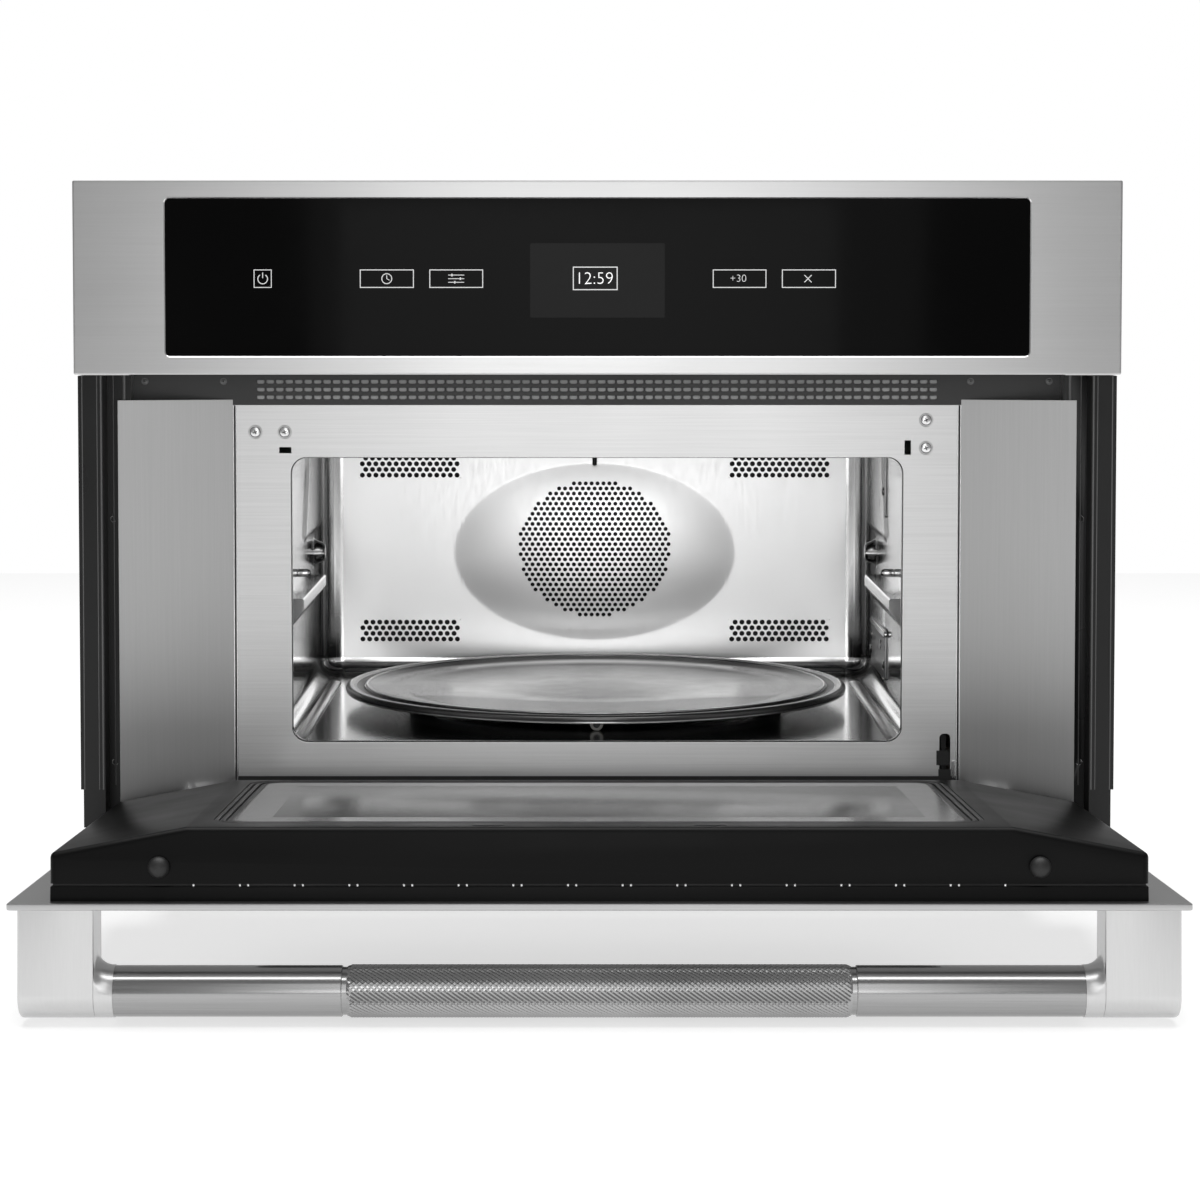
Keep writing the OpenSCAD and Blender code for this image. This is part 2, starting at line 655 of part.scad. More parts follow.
// Three-armed coupling that turns the tray
arm_size = [22, 7];
module drive_coupling() color("#d9d6cc") difference() {
    union() {
        bar_z_up(0, tray_w, coupling_z, 11);
        for (turn = [0:120:359]) translate([0, front_y + tray_w, coupling_z[0]]) rotate(turn)
            translate([0, -arm_size[1] / 2, 0])
                cube([arm_size[0], arm_size[1], coupling_z[1] - coupling_z[0]]);
    }
    bar_z_up(0, tray_w, [coupling_z[0] - cut, coupling_z[1] - 1], shaft_r + fit);
}

// Ring that carries the rollers under the tray, with an axle for each
axle_r = 1.5;
axle_z = cavity_z[0] + 0.3 + roller_r;
module roller_ring() color("#3a3c3e") {
    ring_x = [144, 151];
    ring_h = 4.6;
    translate([0, front_y + tray_w, axle_z - ring_h / 2]) rotate_extrude() translate([ring_x[0], 0])
        square([ring_x[1] - ring_x[0], ring_h]);
    for (n = [0:2]) at_roller(n) {
        translate([ring_x[1] - track_r - 2, 0, 0]) rotate([0, 90, 0])
            cylinder(r = axle_r, h = track_r - ring_x[1] + roller_l / 2 + 3.5);
        translate([roller_l / 2 + 0.5, 0, 0]) rotate([0, 90, 0]) cylinder(r = axle_r + 1.2, h = 1.5);
    }
}

// Local frame at roller n, with its X axis pointing away from the middle
roller_l = 8;
module at_roller(n)
    translate([0, front_y + tray_w, axle_z]) rotate(n * 120 + 30) translate([track_r, 0, 0]) children();

module roller(n) color("#e4e2da") at_roller(n) rotate([0, 90, 0]) difference() {
    cylinder(r = roller_r, h = roller_l, center = true);
    cylinder(r = axle_r + fit, h = roller_l + 2 * cut, center = true);
}

module roller_1() roller(0);
module roller_2() roller(1);
module roller_3() roller(2);

// Turntable tray with a raised rim, a track for the rollers and three drive lugs
module tray() color("#8f9498") {
    under = coupling_z[1] + 0.6;
    track = axle_z + roller_r + 0.3;
    plate = 3.6;
    lug_r = 4;
    lug_at = arm_size[0] * 0.8;
    lug_z = coupling_z[0] + 1.5;
    translate([0, front_y + tray_w, 0]) {
        rotate_extrude($fn = 128) polygon([
            [0, under], [track_r - 7, under], [track_r - 6, track], [tray_r - 8, track],
            [tray_r - 2, track - 0.6], [tray_r, track + 1.5], [tray_r, tray_top - 1],
            [tray_r - 1.5, tray_top], [tray_r - 9, tray_top], [tray_r - 14, track + plate - 1],
            [track_r - 8, under + plate], [0, under + plate]]);
        for (turn = [60:120:359]) rotate(turn) translate([lug_at, 0, lug_z])
            cylinder(r = lug_r, h = under - lug_z + cut);
    }
}

// Brackets on the base pan that carry the door, one pair of cheeks on each side
cheek_x = [[272.5, 276], [298, 301.5]];
module hinge_brackets() color(galvanised) both_sides() {
    back = 112;
    for (x = cheek_x) difference() {
        union() {
            bar_x(x, pivot[0], pivot[1], knuckle_r);
            block(x, [pivot[0], back], [pivot[1] - knuckle_r, pivot[1] + 4]);
            block(x, [pan_front + 2 * sheet, back], [sheet, pivot[1]]);
        }
        bar_x([x[0] - cut, x[1] + cut], pivot[0], pivot[1], pin_r);
    }
    block([cheek_x[0][1], cheek_x[1][0]], [pan_front + 6, back], [sheet, 2 * sheet]);
}

// Pins that the door turns on
module hinge_pins() color(steel) both_sides() {
    bar_x([cheek_x[0][0], cheek_x[1][1] + 2], pivot[0], pivot[1], pin_r);
    bar_x([cheek_x[1][1], cheek_x[1][1] + 2], pivot[0], pivot[1], pin_r + 2);
}

// Lever behind the slot of the front plate, with a hook that the closing door presses
lever_at = [80, 66];
lever_x = [256.5, 260.5];
lever_pin_r = 2;
module interlock_lever() color("#c4c7c9") difference() {
    hook_w = 47;
    hook_z = [42.2, 46];
    union() {
        bar_x(lever_x, lever_at[0], lever_at[1], 6);
        block(lever_x, [62, lever_at[0]], [58, 82]);
        block(lever_x, [lever_at[0], 86.5], [54, 62]);
        block(lever_x, [62, 70], [hook_z[0], 60]);
        block([lever_x[0], lever_x[1] + 9], [hook_w, 64], hook_z);
    }
    bar_x([lever_x[0] - cut, lever_x[1] + cut], lever_at[0], lever_at[1], lever_pin_r + fit);
}

// Safety switches on their bracket behind the front plate, with the lever's pin
module interlock_switches() color("#5d5f52") {
    bracket_x = [246, 247.5];
    bracket = [[plate_w + sheet, 118], [50, 104]];
    block(bracket_x, bracket[0], bracket[1]);
    block([wall_out, bracket_x[0]], [58, 112], [84, 100]);
    bar_x([bracket_x[1], lever_x[1] + 2], lever_at[0], lever_at[1], lever_pin_r);
    for (z = [54, 72, 90]) {
        block([bracket_x[1], 262], [90, 114], [z, z + 11]);
        block([252, 258], [88.4, 90], [z + 4, z + 7]);
    }
}

// Outer skin of the door with its window
module door_skin() color(bright) opened() upright([0, skin_t]) difference() {
    translate([-front_hw, door_z]) square([front_w, door_top - door_z]);
    round_rect([-window_hw, window_hw], window_z, mouth_r);
}

// Tinted outer glass, set into the skin
module door_window_glass() color(dark) opened()
    upright([0.4, skin_t]) round_rect([-window_hw, window_hw], window_z, mouth_r);

// Moulded inner shell of the door: a flat middle, sloping sides, a thin lower part and top slots
liner_t = 2.4;
slots_at = 15.1;
arm_x = [278, 296];
arm_gap = 1.5;
module door_liner() color(black) opened() difference() {
    slots = 15;
    slot = [29.5, 2];
    pitch = 35;
    end_z = [liner_z[0] + liner_t, liner_z[1] - liner_t];
    union() {
        plan(liner_z) liner_outline(0);
        block([-liner_hw, liner_hw], [skin_t, kick_w], [door_z + 5, liner_z[0]]);
    }
    plan(end_z) liner_outline(liner_t);
    block([-liner_hw + liner_t, liner_hw - liner_t], [skin_t - cut, kick_w - liner_t],
        [door_z + 5 + liner_t, end_z[0]]);
    upright([liner_w[0] - liner_t - cut, liner_w[0] + cut])
        round_rect([-pane_hw, pane_hw], pane_z, mouth_r + 6);
    for (n = [0:slots - 1])
        block([(n - (slots - 1) / 2) * pitch - slot[0] / 2, (n - (slots - 1) / 2) * pitch + slot[0] / 2],
            [slots_at - slot[1] / 2, slots_at + slot[1] / 2], [end_z[1] - cut, liner_z[1] + cut]);
    both_sides() block([arm_x[0] - arm_gap, arm_x[1] + arm_gap], [kick_w - liner_t - cut, kick_w + cut],
        [26, liner_z[0] - arm_gap]);
}

// Plan outline of the liner, drawn in by t all round except where it meets the skin
module liner_outline(t)
    polygon([[-liner_hw + t, skin_t - t], [-liner_hw + t, liner_w[1] - t], [-liner_flat_hw, liner_w[0] - t],
        [liner_flat_hw, liner_w[0] - t], [liner_hw - t, liner_w[1] - t], [liner_hw - t, skin_t - t]]);

// Perforated screen that keeps the microwaves in, on a frame of folded steel
screen_w = 30;
module window_screen() color("#44484a") opened() difference() {
    frame = 12;
    pitch = 24;
    hole = 16;
    union() {
        upright([screen_w, screen_w + 1]) translate([-window_hw - frame, window_z[0] - frame])
            square([2 * (window_hw + frame), window_z[1] - window_z[0] + 2 * frame]);
        upright([skin_t, liner_w[0] - pane_t - shelf_t]) difference() {
            round_rect([-window_hw - frame, window_hw + frame],
                [window_z[0] - frame, window_z[1] + frame], mouth_r);
            round_rect([-window_hw - frame + 2, window_hw + frame - 2],
                [window_z[0] - frame + 2, window_z[1] + frame - 2], mouth_r - 2);
        }
    }
    upright([screen_w - cut, screen_w + 1 + cut]) for (column = [-8:8], row = [-3:3])
        translate([column * pitch - hole / 2, (window_z[0] + window_z[1]) / 2 + row * pitch - hole / 2])
            square([hole, hole]);
}

// Inner pane of the door, flush with the liner
pane_hw = 246;
pane_z = [62, 312];
pane_t = 3;
gasket_wide = 7;
shelf_t = 3;
module door_inner_glass() color(dark) opened() upright([liner_w[0] - pane_t, liner_w[0] - 0.4])
    round_rect([-pane_hw + gasket_wide, pane_hw - gasket_wide],
        [pane_z[0] + gasket_wide, pane_z[1] - gasket_wide], mouth_r);

// Seal round the inner pane, with a shelf under the pane
module door_gasket() color("#1c1d1e") opened() {
    upright([liner_w[0] - pane_t, liner_w[0]]) difference() {
        round_rect([-pane_hw, pane_hw], pane_z, mouth_r + 6);
        round_rect([-pane_hw + gasket_wide, pane_hw - gasket_wide],
            [pane_z[0] + gasket_wide, pane_z[1] - gasket_wide], mouth_r);
    }
    upright([liner_w[0] - pane_t - shelf_t, liner_w[0] - pane_t]) difference() {
        round_rect([-pane_hw, pane_hw], pane_z, mouth_r + 6);
        round_rect([-window_hw, window_hw], window_z, mouth_r);
    }
}

// Two round-cornered covers over the screws near the liner's top edge
clip_x = 71.5;
module door_clips() color("#141516") opened() both_sides() upright([liner_w[0], liner_w[0] + 0.3])
    round_rect([clip_x - 10.5, clip_x + 10.5], [liner_z[1] - 20, liner_z[1] - 9], 3);

// Rubber bumpers on the liner's top face
bumper = [282, 26.6, 7, 346];
module door_bumpers() color("#101111") opened() both_sides() {
    bar_z_up(bumper[0], bumper[1], [liner_z[1], bumper[3] - 2], bumper[2]);
    bar_z_up(bumper[0], bumper[1], [bumper[3] - 2, bumper[3]], bumper[2] - 1.5);
}

// Arms inside the door that turn on the hinge pins
module hinge_arms() color(galvanised) opened() both_sides() difference() {
    strap = [skin_t, 9];
    union() {
        bar_x(arm_x, pivot[0], pivot[1], knuckle_r);
        block(arm_x, [strap[0], pivot[0]], [pivot[1] - 6, pivot[1] + 6]);
        block(arm_x, strap, [pivot[1] - 6, 130]);
    }
    bar_x([arm_x[0] - cut, arm_x[1] + cut], pivot[0], pivot[1], pin_r + fit);
}

// Slab brackets that hold the bar, with a half-round end and a cove into the bar
module handle_brackets() color(bright) opened() both_sides() {
    inner = handle_hw - bracket_w;
    cove = 12;
    block([inner, handle_hw], [-bar_out, 0], [bar_z - bar_r, bar_z + bar_r]);
    bar_x([inner, handle_hw], -bar_out, bar_z, bar_r);
    translate([inner - cove, front_y - bar_out, bar_z]) rotate([0, 90, 0]) cylinder(r = bar_r, h = cove);
}

// Handle bar with the knurled grip in its middle
module handle_bar() color(steel) opened() {
    inner = handle_hw - bracket_w - 12;
    groove = 3;
    bar_x([grip_hw + groove, inner], -bar_out, bar_z, bar_r - 0.5);
    bar_x([-inner, -grip_hw - groove], -bar_out, bar_z, bar_r - 0.5);
    bar_x([-grip_hw, grip_hw], -bar_out, bar_z, bar_r);
    both_sides() bar_x([grip_hw, grip_hw + groove], -bar_out, bar_z, bar_r - 1.5);
}

base_pan();
top_cover();
side_panel_left();
side_panel_right();
rear_panel();
cord_gland();
cavity_floor();
cavity_ceiling();
cavity_wall_left();
cavity_wall_right();
cavity_rear_panel();
fan_cover();
front_plate();
front_plate_screws();
side_wing_left();
side_wing_right();
side_trim_left();
side_trim_right();
vent_strip();
strip_screws();
control_frame();
control_glass();
display_module();
touch_board();
main_board();
waveguide_cover();
waveguide();
magnetron();
hv_transformer();
hv_capacitor();
blower_housing();
blower_wheel();
blower_motor();
convection_housing();
convection_fan();
convection_motor();
convection_heater();
cavity_lamp();
turntable_motor();
drive_coupling();
roller_ring();
roller_1();
roller_2();
roller_3();
tray();
hinge_brackets();
hinge_pins();
interlock_lever();
interlock_switches();
door_skin();
door_window_glass();
door_liner();
window_screen();
door_inner_glass();
door_gasket();
door_clips();
door_bumpers();
hinge_arms();
handle_brackets();
handle_bar();
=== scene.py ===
"""Looks of a built-in drop-down-door microwave and convection oven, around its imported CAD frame."""
import json
import math

import bmesh
import bpy
from mathutils import Matrix, Vector, geometry


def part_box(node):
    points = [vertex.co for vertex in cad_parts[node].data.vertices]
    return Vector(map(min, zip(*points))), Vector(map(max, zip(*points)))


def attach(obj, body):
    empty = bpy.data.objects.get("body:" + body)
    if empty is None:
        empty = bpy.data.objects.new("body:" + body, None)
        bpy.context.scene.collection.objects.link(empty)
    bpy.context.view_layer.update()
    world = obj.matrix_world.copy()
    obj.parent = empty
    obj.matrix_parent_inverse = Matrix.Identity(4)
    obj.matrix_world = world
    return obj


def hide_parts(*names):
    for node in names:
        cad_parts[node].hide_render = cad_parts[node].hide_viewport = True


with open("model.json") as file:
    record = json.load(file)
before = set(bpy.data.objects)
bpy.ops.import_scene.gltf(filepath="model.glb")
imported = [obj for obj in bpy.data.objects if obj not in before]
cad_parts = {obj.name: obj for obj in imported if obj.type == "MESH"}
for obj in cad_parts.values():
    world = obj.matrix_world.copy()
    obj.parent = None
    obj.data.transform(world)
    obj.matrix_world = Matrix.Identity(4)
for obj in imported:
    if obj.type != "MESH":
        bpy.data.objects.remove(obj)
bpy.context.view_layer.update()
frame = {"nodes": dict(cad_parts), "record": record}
MM = 0.001
nodes = frame["nodes"]
joints = {j["name"]: j for j in frame["record"]["behaviour"]["joints"]}


# ---------------------------------------------------------------- places, all taken from the frame

def low(node, axis):
    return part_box(node)[0][axis]


def high(node, axis):
    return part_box(node)[1][axis]


def mid(node, axis):
    return (low(node, axis) + high(node, axis)) / 2


X, Y, Z = 0, 1, 2
SIDES = ((-1, "left"), (1, "right"))
FRONT_Y = low("control_frame", Y)
PLATE_Y = low("front_plate", Y)
DOOR = joints["door_hinge"]
OPEN_ANGLE = math.radians(DOOR["range_deg"][1])
PIVOT = Vector(DOOR["pos_m"])
# The door is drawn shut, and OPENING turns it down to where the open door rests
OPENING = Matrix.Translation(PIVOT) @ Matrix.Rotation(OPEN_ANGLE, 4, "X") @ Matrix.Translation(-PIVOT)


def solids_of(node, turn=Matrix()):
    """Boxes (low, high) of the separate solids of a CAD node, from left to right."""
    work = bmesh.new()
    work.from_mesh(nodes[node].data)
    bmesh.ops.remove_doubles(work, verts=work.verts, dist=1e-6)
    bmesh.ops.transform(work, matrix=turn, verts=work.verts)
    boxes, waiting = [], set(work.verts)
    while waiting:
        stack, island = [waiting.pop()], []
        while stack:
            vert = stack.pop()
            island.append(vert.co.copy())
            near = {e.other_vert(vert) for e in vert.link_edges} & waiting
            waiting -= near
            stack += near
        boxes.append(tuple(Vector(pick(p[a] for p in island) for a in range(3)) for pick in (min, max)))
    work.free()
    return sorted(boxes, key=lambda b: (round(b[0].x, 4), round(b[0].z, 4)))


def shut_box(node):
    """Box of a door node as it stands when the door is shut."""
    boxes = solids_of(node, OPENING.inverted())
    return tuple(Vector(pick(b[n][a] for b in boxes) for a in range(3)) for n, pick in ((0, min), (1, max)))


# ---------------------------------------------------------------- materials

class Shader:
    """A Principled material and short ways to add nodes to it."""

    def __init__(self, name, color, metallic=0.0, roughness=0.4, **socket_shades):
        self.mat = bpy.data.materials.new(name)
        self.mat.use_nodes = True
        self.tree = self.mat.node_tree
        self.bsdf = next(n for n in self.tree.nodes if n.type == "BSDF_PRINCIPLED")
        self.set("Base Color", (*color, 1.0))
        self.set("Metallic", metallic)
        self.set("Roughness", roughness)
        for socket, value in socket_shades.items():
            self.set(socket.replace("_", " "), value)
        self.coords = self.node("ShaderNodeTexCoord").outputs["Object"]

    def set(self, socket, value):
        self.bsdf.inputs[socket].default_value = value

    def node(self, kind, **values):
        node = self.tree.nodes.new(kind)
        for key, value in values.items():
            if key in node.inputs:
                node.inputs[key].default_value = value
            else:
                setattr(node, key, value)
        return node

    def link(self, a, b):
        self.tree.links.new(a, b)

    def noise(self, scale, stretch=(1, 1, 1), detail=4.0, rough=0.55):
        """Noise over the object's own metres; stretch is how much each axis is squeezed."""
        mapping = self.node("ShaderNodeMapping")
        mapping.inputs["Scale"].default_value = stretch
        self.link(self.coords, mapping.inputs["Vector"])
        noise = self.node("ShaderNodeTexNoise", Scale=scale, Detail=detail, Roughness=rough)
        self.link(mapping.outputs[0], noise.inputs["Vector"])
        return noise.outputs["Fac"]

    def ramp(self, source, lows, highs, span=(0.3, 0.7)):
        """Maps a 0 to 1 value between two numbers, or two colours."""
        if isinstance(lows, tuple):
            ramp = self.node("ShaderNodeValToRGB")
            ramp.color_ramp.elements[0].position, ramp.color_ramp.elements[1].position = span
            ramp.color_ramp.elements[0].color = (*lows, 1)
            ramp.color_ramp.elements[1].color = (*highs, 1)
            self.link(source, ramp.inputs["Fac"])
            return ramp.outputs["Color"]
        rng = self.node("ShaderNodeMapRange")
        for socket, value in zip(("From Min", "From Max", "To Min", "To Max"), (*span, lows, highs)):
            rng.inputs[socket].default_value = value
        self.link(source, rng.inputs["Value"])
        return rng.outputs["Result"]

    def color(self, source, lows, highs, span=(0.3, 0.7)):
        self.link(self.ramp(source, lows, highs, span), self.bsdf.inputs["Base Color"])
        return self

    def rough(self, source, lows, highs, span=(0.3, 0.7)):
        self.link(self.ramp(source, lows, highs, span), self.bsdf.inputs["Roughness"])
        return self

    def bump(self, source, strength, distance):
        bump = self.node("ShaderNodeBump", Strength=strength, Distance=distance)
        self.link(source, bump.inputs["Height"])
        self.link(bump.outputs["Normal"], self.bsdf.inputs["Normal"])
        return self


def grey(value):
    return (value, value, value)


def brushed(name, value, roughness, along, spread=0.05, bump=0.12):
    """Brushed stainless steel whose hairlines run along the given axis."""
    stretch = tuple(0.012 if axis == along else 1.0 for axis in range(3))
    shader = Shader(name, grey(value), metallic=1.0, roughness=roughness)
    hair = shader.noise(900.0, stretch, detail=3.0)
    cloud = shader.noise(6.0, (1, 1, 1), detail=2.0)
    shader.color(hair, grey(value - spread), grey(value + spread))
    mix = shader.node("ShaderNodeMath", operation="MULTIPLY_ADD")
    shader.link(hair, mix.inputs[0])
    mix.inputs[1].default_value = 0.75
    shader.link(cloud, mix.inputs[2])
    shader.rough(mix.outputs[0], roughness - 0.02, roughness + 0.03, (0.6, 1.2))
    return shader.bump(hair, bump, 0.00004).mat


def speckled(name, value, roughness, grain, strength, metallic=0.0, tint=(1, 1, 1), **socket_shades):
    """A moulded, painted or cast surface with a fine grain and slow patches in its gloss."""
    color = tuple(value * t for t in tint)
    shader = Shader(name, color, metallic=metallic, roughness=roughness, **socket_shades)
    fine = shader.noise(grain, detail=3.0)
    slow = shader.noise(9.0, detail=3.0)
    shader.color(slow, tuple(c * 0.86 for c in color), tuple(min(1.0, c * 1.14) for c in color))
    shader.rough(slow, roughness * 0.86, min(1.0, roughness * 1.16))
    return shader.bump(fine, strength, 0.00008).mat


def galvanised_sheet():
    """Zinc-coated sheet with the faint crystal patches of its spangle."""
    shader = Shader("galvanised_sheet", grey(0.5), metallic=0.95, roughness=0.42)
    cells = shader.node("ShaderNodeTexVoronoi", Scale=95.0)
    shader.link(shader.coords, cells.inputs["Vector"])
    shader.color(cells.outputs["Color"], grey(0.44), grey(0.58), (0.1, 0.9))
    shader.rough(shader.noise(30.0), 0.34, 0.5)
    return shader.bump(cells.outputs["Distance"], 0.05, 0.0002).mat


def cavity_sheet(name, value, roughness):
    """Polished or satin stainless sheet, its reflections softened by a slow waviness."""
    shader = Shader(name, grey(value), metallic=1.0, roughness=roughness)
    wave = shader.noise(5.0, detail=1.5)
    fine = shader.noise(380.0, (1, 1, 0.2), detail=2.0)
    shader.color(wave, grey(value - 0.03), grey(value + 0.03))
    shader.rough(fine, roughness - 0.02, roughness + 0.03)
    return shader.bump(wave, 0.05, 0.002).mat


def tray_enamel():
    """Smoked glass tray, with fine swirls from its pressing."""
    shader = Shader("tray_enamel", grey(0.1), metallic=0.7, roughness=0.2, Coat_Weight=0.2,
        Coat_Roughness=0.1)
    swirl = shader.noise(14.0, (1, 0.5, 1), detail=1.5)
    shader.color(swirl, grey(0.08), grey(0.12))
    shader.rough(shader.noise(60.0), 0.2, 0.26)
    return shader.bump(swirl, 0.04, 0.0004).mat


def smoked_glass(name, value, roughness, waviness, **socket_shades):
    """Glass that reads as black: a dark body under a clear polished face."""
    shader = Shader(name, grey(value), roughness=roughness, **socket_shades)
    slow = shader.noise(4.0, detail=1.0)
    shader.color(slow, grey(value * 0.8), grey(value * 1.2))
    shader.rough(shader.noise(60.0), roughness, roughness + 0.02)
    return shader.bump(slow, waviness, 0.001).mat


def lit_print(name, value, glow):
    """White legend that is lit from behind, slightly uneven as real back-lighting is."""
    shader = Shader(name, grey(value), roughness=0.5)
    shader.set("Emission Color", (1, 1, 1, 1))
    glows = shader.ramp(shader.noise(300.0), glow * 0.85, glow)
    shader.link(glows, shader.bsdf.inputs["Emission Strength"])
    return shader.mat


M = {
    "fascia": brushed("fascia_steel", 0.54, 0.3, X, spread=0.012, bump=0.008),
    "plate": brushed("plate_steel", 0.64, 0.36, X, spread=0.03, bump=0.1),
    "wing": brushed("wing_steel", 0.42, 0.36, Z, spread=0.012, bump=0.04),
    "skin": brushed("skin_steel", 0.46, 0.3, X, spread=0.02, bump=0.02),
    # painted shade: the bar's steel is darker than the brackets' so that its reflections come out darker
    "handle": brushed("handle_steel", 0.36, 0.17, X, spread=0.02, bump=0.03),
    "bracket": brushed("bracket_steel", 0.6, 0.3, Z, spread=0.01, bump=0.02),
    "knurl": speckled("knurl_steel", 0.38, 0.22, 500.0, 0.05, metallic=1.0),
    "cavity": cavity_sheet("polished_cavity", 0.82, 0.14),
    # painted shade: the floor steel is half as light as the walls', standing in for the dark reflections on
    # it
    "cavity_floor": cavity_sheet("polished_floor_painted_shade", 0.42, 0.16),
    "cavity_rear": cavity_sheet("satin_rear_wall", 0.95, 0.3),
    "runner": speckled("floor_runner_steel", 0.8, 0.34, 260.0, 0.3, metallic=1.0),
    "cover": brushed("cover_plate_steel", 0.5, 0.34, Y),
    "galvanised": galvanised_sheet(),
    "screw": speckled("screw_steel", 0.75, 0.22, 300.0, 0.05, metallic=1.0),
    "liner": speckled("liner_plastic", 0.003, 0.34, 900.0, 0.1, Specular_IOR_Level=0.1),
    "trim": speckled("black_trim", 0.01, 0.3, 700.0, 0.12, Specular_IOR_Level=0.3),
    "strip": speckled("strip_paint", 0.03, 0.45, 800.0, 0.12),
    "rubber": speckled("black_rubber", 0.009, 0.5, 600.0, 0.2),
    # painted shade: near-black that stands in for the shade in gaps, holes, recesses and behind perforations
    "shade_fill": speckled("painted_shade_black", 0.012, 0.7, 200.0, 0.1),
    "control_glass": smoked_glass("control_glass_black", 0.003, 0.05, 0.02, Specular_IOR_Level=0.035),
    # painted highlight: the rib black is ten times lighter than the trim black, so the ribs read as
    # highlight lines
    "trim_rib": speckled("trim_rib", 0.1, 0.3, 700.0, 0.1, Coat_Weight=0.2, Coat_Roughness=0.2),
    "gasket": speckled("gasket_rubber", 0.008, 0.4, 600.0, 0.1, Specular_IOR_Level=0.3),
    "pane": smoked_glass("inner_pane", 0.08, 0.2, 0.05, Metallic=0.5),
    "pane_border": smoked_glass("pane_border_print", 0.08, 0.2, 0.05, Metallic=0.4),
    "display": smoked_glass("display_window", 0.009, 0.08, 0.02, Specular_IOR_Level=0.05),
    "door_glass": smoked_glass("door_glass_smoked", 0.03, 0.06, 0.05, Metallic=0.45),
    "legend": lit_print("lit_legend", 0.55, 0.34),
    "digits": lit_print("lit_digits", 0.75, 0.55),
    # painted light: the louvres are near-white so the slots read bright though the fascia shades them
    "louvre": speckled("louvre_painted_light", 0.85, 0.4, 300.0, 0.1),
    "board": speckled("circuit_board", 0.12, 0.4, 240.0, 0.2, tint=(0.25, 1.0, 0.45)),
    "motor": speckled("motor_metal", 0.5, 0.4, 200.0, 0.1, metallic=0.9),
    "iron": speckled("transformer_iron", 0.16, 0.5, 160.0, 0.3, metallic=0.6, tint=(1.1, 0.95, 0.85)),
    "duct": speckled("duct_plastic", 0.05, 0.5, 400.0, 0.2),
    "fan": speckled("fan_metal", 0.46, 0.36, 250.0, 0.1, metallic=1.0),
    "heater": speckled("heater_metal", 0.12, 0.5, 300.0, 0.2, metallic=0.8, tint=(1.1, 1.0, 0.9)),
    "ceramic": speckled("lamp_ceramic", 0.75, 0.35, 200.0, 0.1, tint=(1.0, 0.98, 0.92)),
    "nylon": speckled("pale_nylon", 0.6, 0.4, 300.0, 0.1, tint=(1.0, 0.98, 0.92)),
    "tray": tray_enamel(),
    # painted highlight: light metal for the edges of the dark tray
    "tray_rim": speckled("tray_rim_painted_highlight", 0.55, 0.16, 90.0, 0.05, metallic=0.9),
    "screw_black": speckled("blackened_screw", 0.12, 0.3, 300.0, 0.05, metallic=0.9),
}


# ---------------------------------------------------------------- mesh helpers

def carve(obj, cutter):
    """Cuts one solid from another, and removes the cutter."""
    mod = obj.modifiers.new("cut", "BOOLEAN")
    mod.object, mod.operation, mod.solver = cutter, "DIFFERENCE", "EXACT"
    bpy.context.view_layer.update()
    mesh = bpy.data.meshes.new_from_object(obj.evaluated_get(bpy.context.evaluated_depsgraph_get()))
    obj.modifiers.remove(mod)
    obj.data = mesh
    bpy.data.objects.remove(cutter)


def finish_piece(obj, mat, body, stands_for=(), sharp=35.0, bevel=0.0):
    """Material, shading, rounded edges and the body a piece rides on."""
    obj.data.materials.clear()
    obj.data.materials.append(M[mat])
    obj.data.shade_smooth()
    obj.data.set_sharp_from_angle(angle=math.radians(sharp))
    if bevel:
        round_edges(obj, bevel)
    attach(obj, body)
    if stands_for:
        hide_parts(*stands_for)


def add_piece(name, solid, mat, body, stands_for=(), sharp=35.0, bevel=0.0, opened=False):
    """Makes and finishes a piece from its (verts, faces)."""
    finish_piece(new_object(name, *solid, opened=opened), mat, body, stands_for, sharp, bevel)


def round_edges(obj, width, segments=3, angle=32.0):
    mod = obj.modifiers.new("rounded_edges", "BEVEL")
    mod.width = width
    mod.segments = segments
    mod.limit_method = "ANGLE"
    mod.angle_limit = math.radians(angle)
    mod.harden_normals = True


def new_object(name, verts, faces, opened=False):
    """A mesh object with outward normals; opened turns it to where the open door rests."""
    mesh = bpy.data.meshes.new(name)
    mesh.from_pydata([tuple(v) for v in verts], [], faces)
    work = bmesh.new()
    work.from_mesh(mesh)
    bmesh.ops.remove_doubles(work, verts=work.verts, dist=1e-6)
    bmesh.ops.recalc_face_normals(work, faces=work.faces)
    if opened:
        bmesh.ops.transform(work, matrix=OPENING, verts=work.verts)
    work.to_mesh(mesh)
    work.free()
    obj = bpy.data.objects.new(name, mesh)
    bpy.context.collection.objects.link(obj)
    return obj


def rounded_outline(x, z, radius, steps=8):
    """Counter-clockwise points of a rectangle with round corners, between x = (low, high) and z."""
    points = []
    corners = [(x[1], z[0], -90), (x[1], z[1], 0), (x[0], z[1], 90), (x[0], z[0], 180)]
    for cx, cz, start in corners:
        sx = cx - radius if cx == x[1] else cx + radius
        sz = cz - radius if cz == z[1] else cz + radius
        for n in range(steps + 1):
            a = math.radians(start + 90 * n / steps)
            points.append((sx + radius * math.cos(a), sz + radius * math.sin(a)))
    return points


def box_outline(box, inset, radius, steps):
    """Outline of a box as seen from the front, moved in by inset."""
    x, z = ((box[0][axis] + inset, box[1][axis] - inset) for axis in (X, Z))
    return rounded_outline(x, z, radius, steps)


